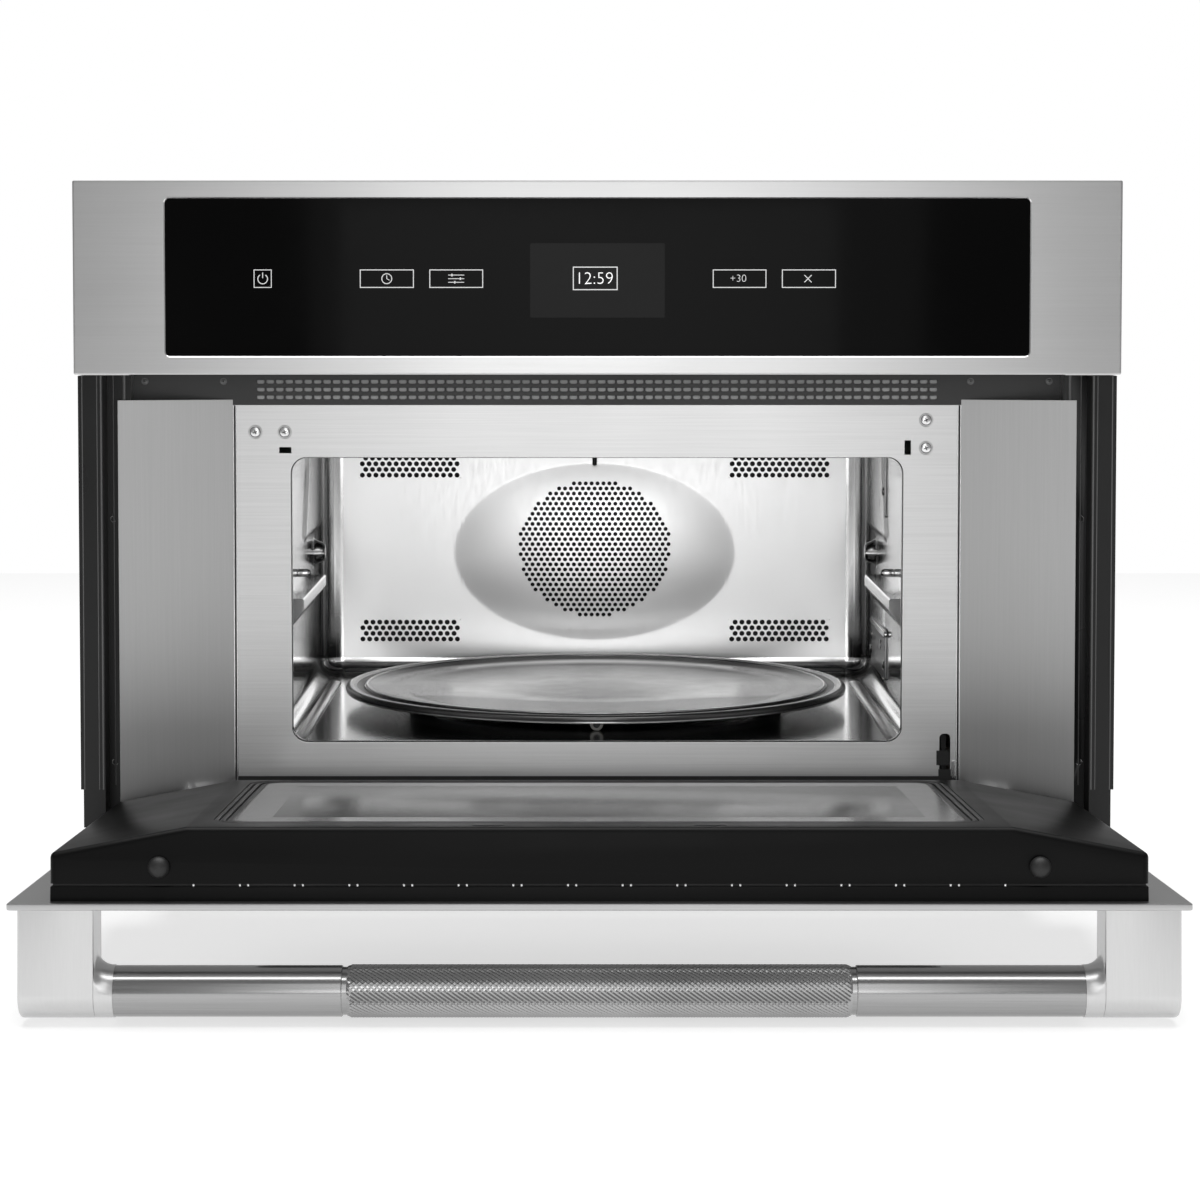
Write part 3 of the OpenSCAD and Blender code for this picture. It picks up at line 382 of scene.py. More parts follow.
def bands(rings, closed_ends=(True, True)):
    """Verts and faces of a skin through rings of equal length, each a list of 3-D points."""
    count = len(rings[0])
    verts = [p for ring in rings for p in ring]
    faces = []
    for r in range(len(rings) - 1):
        for n in range(count):
            a, b = r * count + n, r * count + (n + 1) % count
            faces.append((a, b, b + count, a + count))
    if closed_ends[0]:
        faces.append(tuple(range(count))[::-1])
    if closed_ends[1]:
        faces.append(tuple(range((len(rings) - 1) * count, len(rings) * count)))
    return verts, faces


def mm(points):
    """The same points, from millimetres."""
    return [tuple(v * MM for v in point) for point in points]


def rectangle(x, z):
    return [(x[0], z[0]), (x[1], z[0]), (x[1], z[1]), (x[0], z[1])]


def quarter(steps):
    """Angles of a quarter turn, from 0 in even steps."""
    return [math.pi / 2 * n / steps for n in range(steps + 1)]


def half_round(centre, radius, depth, rise, steps=8):
    """Section of a low bead: (x, y) points of a half ellipse that rises from the given depth."""
    turns = [math.pi * n / steps for n in range(steps + 1)]
    return [(centre + radius * math.cos(a), depth - rise * math.sin(a)) for a in turns]


def upright_bead(section, z):
    return bands([[(px, py, height) for px, py in section] for height in z])


def at_depth(outline, y):
    return [(px, y, pz) for px, pz in outline]


def slab(outline, y):
    """A solid from an outline of (x, z) points between two depths."""
    return bands([at_depth(outline, depth) for depth in y])


def moulding(profile, outline_at):
    """A closed frame: profile is [(inset, y)], and outline_at(inset) gives the outline at an inset."""
    rings = [at_depth(outline_at(inset), y) for inset, y in profile]
    return bands(rings + rings[:1], (False, False))


def lathe(profile, centre, axis=Z, steps=96, closed=False):
    """Turns [(radius, along)] about the axis through centre."""
    rings = []
    for radius, along in profile:
        ring = []
        for n in range(steps):
            a = math.tau * n / steps
            p = [radius * math.cos(a), radius * math.sin(a)]
            spot = {X: (along, p[0], p[1]), Y: (p[0], along, p[1]), Z: (p[0], p[1], along)}[axis]
            ring.append(tuple(c + s for c, s in zip(centre, spot)))
        rings.append(ring)
    if closed:
        return bands(rings + rings[:1], (False, False))
    return bands(rings)


def join(*solids):
    """One list of verts and faces from several."""
    verts, faces = [], []
    for more_verts, more_faces in solids:
        base = len(verts)
        verts += more_verts
        faces += [tuple(base + i for i in face) for face in more_faces]
    return verts, faces


class Sheet:
    """A sheet built tile by tile in its own two axes; place(u, v) gives each point's place."""

    def __init__(self, place):
        self.place, self.index, self.at, self.verts, self.faces, self.bored = place, {}, [], [], [], set()

    def vert(self, u, v):
        key = (round(u, 6), round(v, 6))
        if key not in self.index:
            self.index[key] = len(self.verts)
            self.at.append(key)
            self.verts.append(Vector(self.place(u, v)))
        return self.index[key]

    def face(self, points):
        corners = [self.vert(u, v) for u, v in points]
        corners = [c for n, c in enumerate(corners) if c != corners[n - 1]]
        if len(corners) > 2:
            self.faces.append(tuple(corners))

    def grid(self, us, vs):
        for u0, u1 in zip(us, us[1:]):
            for v0, v1 in zip(vs, vs[1:]):
                self.face([(u0, v0), (u1, v0), (u1, v1), (u0, v1)])

    def hole(self, cu, cv, size, bore):
        """A tile of the given size round a hole: bore(u, v) turns an edge point into the hole's point."""
        (w, h), q = size, (-0.5, -0.25, 0, 0.25)
        edge = [(w * t, -h / 2) for t in q] + [(w / 2, h * t) for t in q]
        edge += [(-a, -b) for a, b in edge]
        inner = [bore(a, b) for a, b in edge]
        for n in range(len(edge)):
            a, b, c, d = edge[n - 1], edge[n], inner[n], inner[n - 1]
            self.face([(cu + p, cv + r) for p, r in (a, b, c, d)])
        self.bored.update(self.vert(cu + p, cv + r) for p, r in inner)

    def perforate(self, u, v, pitch, row_pitch, bore, wanted=None):
        """Staggered rows of holes that fill a rectangle, plain where wanted(u, v) is false."""
        columns = round((u[1] - u[0]) / pitch)
        rows = round((v[1] - v[0]) / row_pitch)
        quarter = pitch / 4
        for row in range(rows):
            v0 = v[0] + row * row_pitch
            vs = [v0 + row_pitch * t / 4 for t in range(5)]
            shift = (row % 2) * pitch / 2
            if shift:
                for start in (u[0], u[0] + columns * pitch - shift):
                    self.grid([start, start + quarter, start + shift], vs)
            for column in range(columns - row % 2):
                u0 = u[0] + shift + column * pitch
                centre = (u0 + pitch / 2, v0 + row_pitch / 2)
                if wanted is None or wanted(*centre):
                    self.hole(*centre, (pitch, row_pitch), bore)
                else:
                    self.grid([u0 + quarter * t for t in range(5)], vs)

    def make(self, name, mat, body, thickness, stands_for=(), turned=False, sharp=40.0):
        """A closed solid: the sheet, its back, and the edges of its holes and of its outline."""
        faces = [tuple(reversed(f)) for f in self.faces] if turned else self.faces
        lean = [Vector() for vert in self.verts]
        for f in faces:
            normal = geometry.normal([self.verts[c] for c in f])
            for c in f:
                lean[c] += normal
        ends = [{pick(p[axis] for p in self.at) for pick in (min, max)} for axis in (0, 1)]

        def on_rim(a, b):
            return {a, b} <= self.bored or any(self.at[a][n] == self.at[b][n] in ends[n] for n in (0, 1))

        sides = {(f[n - 1], f[n]) for f in faces for n in range(len(f))}
        rims = [(a, b) for a, b in sorted(sides) if (b, a) not in sides and on_rim(a, b)]
        count = len(self.verts)
        back = [v - n.normalized() * thickness for v, n in zip(self.verts, lean)]
        solid = list(faces) + [tuple(c + count for c in reversed(f)) for f in faces]
        solid += [(b, a, a + count, b + count) for a, b in rims]
        add_piece(name, (self.verts + back, solid), mat, body, stands_for, sharp)


def round_bore(radius):
    return lambda a, b: (a * radius / math.hypot(a, b), b * radius / math.hypot(a, b))


def spread(start, end, step):
    """Evenly spaced values from start to end, at most step apart."""
    count = max(1, math.ceil(abs(end - start) / step))
    return [start + (end - start) * n / count for n in range(count + 1)]


def smooth(t):
    t = min(1.0, max(0.0, t))
    return t * t * (3 - 2 * t)


def dress(node, mat, bevel):
    """Gives a CAD node its material, and rounds its edges where they show."""
    obj = nodes[node]
    obj.data.materials.clear()
    obj.data.materials.append(M[mat])
    for polygon in obj.data.polygons:
        polygon.material_index = 0
    if bevel:
        weld = obj.modifiers.new("weld", "WELD")
        weld.merge_threshold = 1e-6
        flat = obj.modifiers.new("flat_faces", "DECIMATE")
        flat.decimate_type = "DISSOLVE"
        flat.angle_limit = math.radians(0.5)
        round_edges(obj, bevel, 2, 40.0)


# ---------------------------------------------------------------- cavity

CAVITY_X = high("cavity_rear_panel", X) - 1.5 * MM
FLOOR_Z = high("cavity_floor", Z)
CEILING_Z = low("cavity_ceiling", Z)
CAVITY_MID_Z = (FLOOR_Z + CEILING_Z) / 2
REAR_Y = high("cavity_rear_panel", Y) - 1.5 * MM
CORNER_R = REAR_Y - high("cavity_wall_right", Y)
COVER_HALF = (high("fan_cover", X), (high("fan_cover", Z) - low("fan_cover", Z)) / 2)
COVER_RISE = REAR_Y - low("fan_cover", Y)
CAVITY_FRONT = low("cavity_wall_right", Y)
CORNER_Y = REAR_Y - CORNER_R
FILLET_R = 12.5 * MM
RUNNER_X = 222 * MM


def dish(x, z):
    """How far the oval fan cover stands into the cavity: a shallow dish with a flatter middle."""
    rho = math.hypot(x / COVER_HALF[0], (z - CAVITY_MID_Z) / COVER_HALF[1])
    if rho >= 1:
        return 0.0
    return 0.33 * COVER_RISE * (1 - rho ** 2.6) ** 1.15


def build_rear_wall():
    """Rear wall with its perforated dish and four vented patches, and a near-black sheet of painted shade
    behind them.
    """
    pitch, row_pitch = 5.2 * MM, 4.45 * MM
    columns, rows = 44, 38
    disc, disc_z = (66.5 * MM, 60.5 * MM), CAVITY_MID_Z + 3 * MM
    zone_x = (-columns * pitch / 2, columns * pitch / 2)
    zone_z = (CAVITY_MID_Z - rows * row_pitch / 2, CAVITY_MID_Z + rows * row_pitch / 2)
    flat_x = CAVITY_X - CORNER_R
    wall = Sheet(lambda x, z: (x, REAR_Y - dish(x, z), z))
    wall.perforate(zone_x, zone_z, pitch, row_pitch, round_bore(1.78 * MM),
        lambda x, z: math.hypot(x / disc[0], (z - disc_z) / disc[1]) < 1)
    wall.grid(spread(*zone_x, pitch / 4), [FLOOR_Z, zone_z[0]])
    wall.grid(spread(*zone_x, pitch / 4), [zone_z[1], CEILING_Z])
    vent_pitch, vent_row, vent_columns, vent_rows = 5.95 * MM, 5.0 * MM, 15, 4
    vent_low = zone_x[1] + 3.6 * MM
    vent_high = vent_low + vent_columns * vent_pitch
    bottoms = (FLOOR_Z + 26 * MM, CEILING_Z - 36.5 * MM - vent_rows * vent_row / 4)
    top_of = [bottom + vent_rows * vent_row for bottom in bottoms]
    for side in (-1, 1):
        us = sorted((side * vent_low, side * vent_high))
        for v in zip(bottoms, top_of):
            wall.perforate(us, v, vent_pitch, vent_row, round_bore(2.2 * MM))
        for v in ((FLOOR_Z, bottoms[0]), (top_of[1], CEILING_Z)):
            wall.grid(spread(*us, vent_pitch / 4), v)
        wall.grid(spread(*us, vent_pitch / 4), spread(top_of[0], bottoms[1], pitch / 2))
        wall.grid(sorted((side * vent_high, side * flat_x)), [FLOOR_Z, CEILING_Z])
        wall.grid(sorted((side * zone_x[1], side * vent_low)), spread(FLOOR_Z, CEILING_Z, pitch / 2))
    wall.make("cavity_rear_wall", "cavity_rear", "chassis", 1.1 * MM,
        ("cavity_rear_panel", "fan_cover"))
    # painted shade: a near-black sheet behind the holes stands in for the shade behind the wall
    shade_sheet = slab(rectangle((-flat_x, flat_x), (FLOOR_Z, CEILING_Z)),
        (REAR_Y + 1.2 * MM, REAR_Y + 1.45 * MM))
    add_piece("rear_wall_painted_shade", shade_sheet, "shade_fill", "chassis")


def build_corners():
    """Rounded upright corners between the rear wall and the side walls."""
    for side, name in SIDES:
        corner = Sheet(lambda a, z: (side * (CAVITY_X - CORNER_R + CORNER_R * math.sin(a)),
            CORNER_Y + CORNER_R * math.cos(a), z))
        corner.grid(quarter(20), spread(FLOOR_Z, CEILING_Z, 0.1))
        corner.make("cavity_corner_" + name, "cavity", "chassis", 1.1 * MM, turned=side < 0)


LEDGE_OUT = CAVITY_X - low("cavity_wall_right", X)
LEDGE_Y = (FRONT_Y + 139 * MM, FRONT_Y + 343 * MM)
PANEL_Y, CREASE_Z = FRONT_Y + 300 * MM, 211 * MM
STUD_Y, STUD_Z = FRONT_Y + 400 * MM, 190 * MM
NUB_Y, NUB_Z = FRONT_Y + 250 * MM, 186 * MM


def wall_relief(y, z):
    """How far a side wall is pressed in: a raised rear panel with a slanted edge, and a rack stud."""
    edge = PANEL_Y + 0.55 * max(0.0, z - CREASE_Z)
    panel = 2.2 * MM * smooth((y - edge) / (6 * MM)) * smooth((z - CREASE_Z + 4 * MM) / (5 * MM))
    reach = math.hypot((y - STUD_Y) / (8 * MM), (z - STUD_Z) / (10 * MM))
    return max(panel, 10 * MM * smooth((1.25 - reach) / 0.6))


def build_side_walls():
    """Pressed side walls, each with a rack ledge and a small nub over it."""
    out = LEDGE_OUT / MM
    section = mm([(0, 148), (out - 0.6, 166.4), (out, 167.6), (out, 175), (out - 1, 176), (-0.5, 176.4),
        (-0.5, 148)])
    nub = lathe(mm([(0.1, 11), (1.6, 10.7), (2.7, 9.6), (3.2, 8), (3.2, 0.6), (4.2, 0)]), (0, 0, 0), X, 32)
    for side, name in SIDES:
        wall = Sheet(lambda y, z: (side * (CAVITY_X - wall_relief(y, z)), y, z))
        wall.grid(spread(CAVITY_FRONT, CORNER_Y, 2.2 * MM), spread(FLOOR_Z, CEILING_Z, 2.2 * MM))
        wall.make("cavity_side_" + name, "cavity", "chassis", 1.0 * MM,
            ("cavity_wall_" + name,), turned=side > 0, sharp=60)
        rings = [[(side * (CAVITY_X - depth), y, z) for depth, z in section] for y in LEDGE_Y]
        add_piece("cavity_ledge_" + name, bands(rings), "cavity", "chassis", sharp=40,
            bevel=0.9 * MM)
        spots = [(side * (CAVITY_X - p[0]), p[1] + NUB_Y, p[2] + NUB_Z) for p in nub[0]]
        add_piece("rack_nub_" + name, (spots, nub[1]), "cavity", "chassis", sharp=50)


def mouth_path(t, inset):
    """Point of the cavity's outline in plan, t metres along it from the front left, moved in by inset."""
    straight, arc_length = CORNER_Y - CAVITY_FRONT, CORNER_R * math.pi / 2
    across = 2 * (CAVITY_X - CORNER_R)
    near = min(max(t, 0.0), straight)
    side = -1
    if t > straight + arc_length + across / 2:
        side, t = 1, 2 * (straight + arc_length) + across - t
        near = min(max(t, 0.0), straight)
    angle = math.pi / 2 * min(1.0, max(0.0, (t - straight) / arc_length))
    along = max(0.0, t - straight - arc_length)
    x = CAVITY_X - CORNER_R + (CORNER_R - inset) * math.cos(angle) - along
    y = CAVITY_FRONT + near + (CORNER_R - inset) * math.sin(angle)
    return side * x, y


def build_floor_fillet():
    """Rounded foot of the walls, where they turn into the floor, and the two runners beside it."""
    length = 2 * (CORNER_Y - CAVITY_FRONT + CORNER_R * math.pi / 2 + CAVITY_X - CORNER_R)

    def place(t, angle):
        inset = FILLET_R * (1 - math.sin(angle))
        x, y = mouth_path(t, inset)
        return x, y, FLOOR_Z + FILLET_R * (1 - math.cos(angle)) + 0.05 * MM

    foot = Sheet(place)
    foot.grid(spread(0, length, 2.5 * MM), quarter(12))
    foot.make("cavity_foot", "cavity", "chassis", 0.6 * MM)
    section = mm([(-5.2, -0.2), (-4.8, 1.2), (-3.4, 2.1), (0, 2.4), (3.4, 2.1), (4.8, 1.2), (5.2, -0.2)])
    stations = ((66, 0.5), (70, 1.0), (398, 1.0), (404, 0.4))
    runners = [bands([[(side * RUNNER_X + dx * k, FRONT_Y + w * MM, FLOOR_Z + dz * k) for dx, dz in section]
        for w, k in stations]) for side in (-1, 1)]
    add_piece("floor_runners", join(*runners), "runner", "chassis", sharp=50)


def cover_plate(name, y, z, screws):
    """Flat cover on the right wall, held by two screws."""
    x = CAVITY_X - 1.6 * MM
    outline = rounded_outline([FRONT_Y + v * MM for v in y], [v * MM for v in z], 2 * MM, 3)
    rings = [[(px, a, b) for a, b in outline] for px in (x, CAVITY_X - 0.2 * MM)]
    add_piece(name, bands(rings), "cover", "chassis", bevel=0.4 * MM)
    heads = []
    for w, height in screws:
        head = lathe(mm([(0.1, 1.1), (1.3, 0.9), (1.5, 1.6), (3.2, 1.3), (4.0, 0)]), (0, 0, 0), X, 24)
        heads.append(([(x - p[0], p[1] + FRONT_Y + w * MM, p[2] + height * MM) for p in head[0]], head[1]))
    add_piece(name + "_screws", join(*heads), "screw", "chassis", sharp=50)


def build_wall_covers():
    """The two covers on the right wall, and the bead pressed into the wall above the lower one."""
    cover_plate("port_cover_upper", (310, 434), (226, 289), ((428, 248), (322, 247)))
    cover_plate("port_cover_lower", (303, 424), (92, 134), ((421, 105), (311, 104)))
    outline = rounded_outline((FRONT_Y + 296 * MM, FRONT_Y + 418 * MM), (128 * MM, 133.4 * MM), 2.6 * MM, 5)
    rings = [[(CAVITY_X - out * MM, a, b) for a, b in outline] for out in (3.4, 0.4)]
    add_piece("port_cover_bead", bands(rings), "cavity", "chassis", bevel=0.8 * MM)


def build_sensor():
    """Small humidity probe that hangs from the ceiling, in front of the rear wall."""
    top, tip = (0, REAR_Y - 9 * MM, CEILING_Z), 259.7 - CEILING_Z / MM
    probe = lathe(mm([(0.1, tip), (1.9, tip + 1), (2.1, -4), (4, -3.4), (4, 0)]), top, Z, 24)
    add_piece("humidity_probe", probe, "trim", "chassis")


def build_tray():
    """Glass tray: flat middle, two raised rings with a groove between them, painted shade in the groove and
    painted highlights on the rims, and its drive lugs.
    """
    rim, top, coupling = high("tray", X) / MM, high("tray", Z) / MM, high("drive_coupling", Z) / MM
    centre = (0, mid("tray", Y), 0)
    floor, under = coupling + 4.2, coupling + 0.7
    upper = [(0.1, floor), (60, floor), (150, floor), (153, floor + 1.2), (164, floor + 2.4),
        (181, floor + 2.4), (184, floor + 4.6), (186.5, floor + 4.8), (188.5, floor + 3),
        (191, floor + 3), (194.5, top - 0.5), (rim - 6, top), (rim - 2, top - 0.2), (rim - 0.3, top - 1.4)]
    lower = [(rim, top - 2.8), (rim - 0.8, top - 4.8), (rim - 4, floor - 0.6), (rim - 12, floor - 1.1),
        (154, floor - 1.1), (152.5, under), (0.1, under)]
    disc = lathe(mm(upper + lower), centre, Z, 160)
    add_piece("turntable_tray", disc, "tray", "tray", ("tray",), sharp=50)
    turns = [math.tau * n / 10 for n in range(10)]
    beads = []
    # painted highlights: bright rings along the outer rim's edges and the crest of the inner ring
    places = ((rim - 3, top - 1.4, 1.3), (185.5, floor + 4.4, 1.2), (rim - 1.5, top - 5, 0.9))
    for radius, height, thick in places:
        circle = mm([(radius + thick * math.cos(a), height + thick * math.sin(a)) for a in turns])
        beads.append(lathe(circle, centre, Z, 160, closed=True))
    # painted shade: a near-black ring laid in the groove
    groove = mm([(187.6, floor + 3.9), (188.7, floor + 3.2), (191, floor + 3.2), (193.9, top - 0.7),
        (194.1, top - 1.3), (191, floor + 2.6), (188.4, floor + 2.6)])
    ring = lathe(groove, centre, Z, 160, closed=True)
    add_piece("tray_groove_shade", ring, "trim", "tray", sharp=50)
    add_piece("tray_rim_highlight_beads", join(*beads), "tray_rim", "tray", sharp=60)
    lugs = []
    for n in range(3):
        a = math.radians(60 + 120 * n)
        at = (17.6 * MM * math.cos(a), centre[1] + 17.6 * MM * math.sin(a), under * MM)
        lugs.append(lathe(mm([(3.2, -5.8), (4, -5), (4, 0.2)]), at, Z, 24))
    add_piece("tray_drive_lugs", join(*lugs), "tray", "tray")


# ---------------------------------------------------------------- front plate, strip and fascia

def screw_place(box):
    return (box[0].x + box[1].x) / 2, PLATE_Y, (box[0].z + box[1].z) / 2


def screw_solids(box):
    """Washer and domed head in place of a CAD screw head, and a near-black cross on it, painted shade for
    its cross recess.
    """
    head = (box[1].x - box[0].x) / 2
    rise = PLATE_Y - box[0].y
    at = screw_place(box)
    washer = lathe([(head * 0.5, 0), (head, 0), (head, -rise * 0.22), (head * 0.96, -rise * 0.36),
        (head * 0.5, -rise * 0.36)], at, Y, 40)
    dome = lathe([(head * 0.74, -rise * 0.3), (head * 0.72, -rise * 0.6), (head * 0.56, -rise * 0.88),
        (head * 0.32, -rise * 0.98), (0.01 * MM, -rise * 0.98)], at, Y, 40)
    cross = []
    for turn in (0.35, 0.35 + math.pi / 2):
        along, side = (math.cos(turn), math.sin(turn)), (-math.sin(turn), math.cos(turn))
        corners = [(p * head * 0.34, q * head * 0.075) for p, q in ((-1, -1), (1, -1), (1, 1), (-1, 1))]
        outline = [(at[0] + along[0] * p + side[0] * q, at[2] + along[1] * p + side[1] * q)
            for p, q in corners]
        cross.append(slab(outline, (PLATE_Y - rise, PLATE_Y - rise * 0.7)))
    return join(washer, dome), join(*cross)


def build_screws():
    """Screw heads of the front plate and the vent strip, with painted shade for their cross recesses; the
    plate's have a washer, and painted shade for a socket and a groove.
    """
    for node, mat in (("front_plate_screws", "screw"), ("strip_screws", "screw_black")):
        heads, crosses = zip(*(screw_solids(box) for box in solids_of(node)))
        add_piece(node + "_heads", join(*heads), mat, "chassis", (node,), sharp=30)
        # painted shade: a near-black cross on each head stands in for the shade in its recess
        add_piece(node + "_recess_shade", join(*crosses), "shade_fill", "chassis")
    # painted shade: dark rings for the socket in each head and the groove in each washer
    rings, socket_shades = [], []
    for box in solids_of("front_plate_screws"):
        at = screw_place(box)
        top = box[0].y - PLATE_Y + 0.02 * MM
        socket_shades.append(lathe([(1.2 * MM, top + 0.5 * MM), (1.2 * MM, top), (0.6 * MM, top)], at, Y, 24))
        groove = mm(rectangle((3.5, 4.0), (-0.5, -0.1)))
        socket_shades.append(lathe(groove, at, Y, 40, closed=True))
        rings.append(lathe(mm([(2.6, 0.1), (5.1, 0.1), (5.1, -0.2), (4.7, -0.45), (2.6, -0.45)]), at, Y, 48))
    add_piece("plate_screw_washers", join(*rings), "cover", "chassis", sharp=30)
    add_piece("plate_screw_socket_shade", join(*socket_shades), "shade_fill", "chassis")


MOUTH_X = 226.7 * MM


def build_mouth_lip():
    """The edge of the cavity's mouth, rolled inwards behind the front plate."""
    mouth = ((-MOUTH_X, 0, FLOOR_Z), (MOUTH_X, 0, CEILING_Z))
    profile = mm([(-0.2, 0.3), (0.25, 0.2), (0.7, 0.7), (0.8, 6), (-0.2, 6)])
    lip = moulding([(inset, PLATE_Y + rise) for inset, rise in profile],
        lambda inset: box_outline(mouth, inset, 12 * MM - inset, 10))
    add_piece("mouth_lip", lip, "cavity", "chassis", sharp=50)


def build_vent_strip():
    """Black strip with three rows of slots, and the slanted louvres behind them, painted pale so they read
    as lit inside the shaded slots.
    """
    columns, rows, pitch, row_pitch = 72, 3, 7.0 * MM, 5.7 * MM
    x_end, z = high("vent_strip", X), (low("vent_strip", Z), high("vent_strip", Z))
    grille = (-columns * pitch / 2, columns * pitch / 2)
    base = z[0] + 2.9 * MM
    size = (5.5 * MM / pitch, 3.0 * MM / row_pitch)

    def slot(a, b):
        corner = 0.84 if abs(abs(a) - pitch / 2) < 1e-6 and abs(abs(b) - row_pitch / 2) < 1e-6 else 1.0
        return a * size[0] * corner, b * size[1] * corner

    strip = Sheet(lambda x, zz: (x, PLATE_Y, zz))
    for row in range(rows):
        for column in range(columns):
            centre = (grille[0] + (column + 0.5) * pitch, base + (row + 0.5) * row_pitch)
            strip.hole(*centre, (pitch, row_pitch), slot)
    top = base + rows * row_pitch
    strip.grid(grille, [z[0], base])
    strip.grid(grille, [top, z[1]])
    for side in ((-x_end, grille[0]), (grille[1], x_end)):
        strip.grid(side, z)
    strip.make("vent_strip_sheet", "strip", "chassis", 1.2 * MM, ("vent_strip",))
    louvres = []
    for row in range(rows):
        zc = base + (row + 0.5) * row_pitch
        outline = rectangle(grille, (zc - 1.7 * MM, zc + 1.1 * MM))
        verts, faces = slab(outline, (PLATE_Y + 2.2 * MM, PLATE_Y + 3.0 * MM))
        verts = [(p[0], p[1] + (p[2] - zc) * 0.7, p[2]) for p in verts]
        louvres.append((verts, faces))
    # painted light: pale louvres stand in for light inside the shaded slots
    add_piece("vent_louvres", join(*louvres), "louvre", "chassis")


GLASS_Y = low("control_glass", Y)
PRINT_RISE = 0.05 * MM


def build_fascia():
    """Stainless front with a bright chamfer round the glass, and the folded returns behind it."""
    back = (high("control_frame", Y) - FRONT_Y) / MM
    chamfer = 1.1 * MM

    def hole_at(inset):
        return box_outline(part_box("control_glass"), -inset, 3 * MM + inset, 4)

    def front_at(inset):
        return box_outline(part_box("control_frame"), inset * MM, 1.2 * MM, 4)

    stations = ((hole_at(chamfer), 0), (hole_at(chamfer + 0.8 * MM), 0), (front_at(1.4), 0),
        (front_at(0.6), 0), (front_at(0.15), 0.2), (front_at(0), 0.7), (front_at(0), back),
        (front_at(1.5), back), (front_at(1.5), 1.5), (hole_at(0), 1.5), (hole_at(0), 0.8))
    face = bands([at_depth(outline, FRONT_Y + rise * MM) for outline, rise in stations], (False, False))
    add_piece("fascia_shell", face, "fascia", "chassis", ("control_frame",), sharp=30)
    edge = moulding([(chamfer, FRONT_Y), (0.0, FRONT_Y + 0.75 * MM), (0.0, FRONT_Y + 1.4 * MM),
        (chamfer, FRONT_Y + 1.4 * MM)], hole_at)
    add_piece("fascia_glass_bezel", edge, "screw", "chassis", sharp=30)


def stroke(points, width, closed=False):
    """A thin printed line of even width on the glass, through (x, z) points in millimetres."""
    points, width, count = mm(points), width * MM, len(points)
    sides = ([], [])
    for n, (px, pz) in enumerate(points):
        before = points[n - 1] if n or closed else points[n]
        after = points[(n + 1) % count] if n < count - 1 or closed else points[n]
        d_in = Vector((px - before[0], pz - before[1])).normalized()
        d_out = Vector((after[0] - px, after[1] - pz)).normalized()
        along = (d_in + d_out).normalized()
        across = Vector((-along.y, along.x))
        reach = width / 2 / max(0.4, across.dot(Vector((-d_out.y, d_out.x))) if d_out.length else 1.0)
        for side, sign in zip(sides, (1, -1)):
            side.append((px + across.x * reach * sign, pz + across.y * reach * sign))
    verts, faces = [], []
    for side in sides:
        for depth in (GLASS_Y, GLASS_Y - PRINT_RISE):
            verts += at_depth(side, depth)
    left, left_up, right, right_up = (k * count for k in range(4))
    for n in range(count if closed else count - 1):
        m = (n + 1) % count
        for a, b in ((left_up, right_up), (left, left_up), (right_up, right)):
            faces.append((a + n, a + m, b + m, b + n))
    return verts, faces


def arc(cx, cz, radius, start, end, steps=20):
    turns = [math.radians(start + (end - start) * n / steps) for n in range(steps + 1)]
    return [(cx + radius * math.cos(a), cz + radius * math.sin(a)) for a in turns]


def digits(name, text, centre, height, mat):
    """Generic numerals, turned into a mesh and stood up on the glass; sizes are in millimetres."""
    curve = bpy.data.curves.new(name, "FONT")
    curve.body = text
    curve.size = height * MM / 0.7
    curve.align_x, curve.align_y = "CENTER", "CENTER"
    curve.offset = -0.018 * curve.size
    curve.extrude = PRINT_RISE / 2
    curve.resolution_u = 6
    text_object = bpy.data.objects.new(name, curve)
    bpy.context.collection.objects.link(text_object)
    bpy.context.view_layer.update()
    mesh = bpy.data.meshes.new_from_object(text_object)
    bpy.data.objects.remove(text_object)
    spot = Matrix.Translation((centre[0] * MM, GLASS_Y - PRINT_RISE / 2, centre[1] * MM))
    mesh.transform(spot @ Matrix.Rotation(math.pi / 2, 4, "X"))
    obj = bpy.data.objects.new(name, mesh)
    bpy.context.collection.objects.link(obj)
    finish_piece(obj, mat, "chassis")


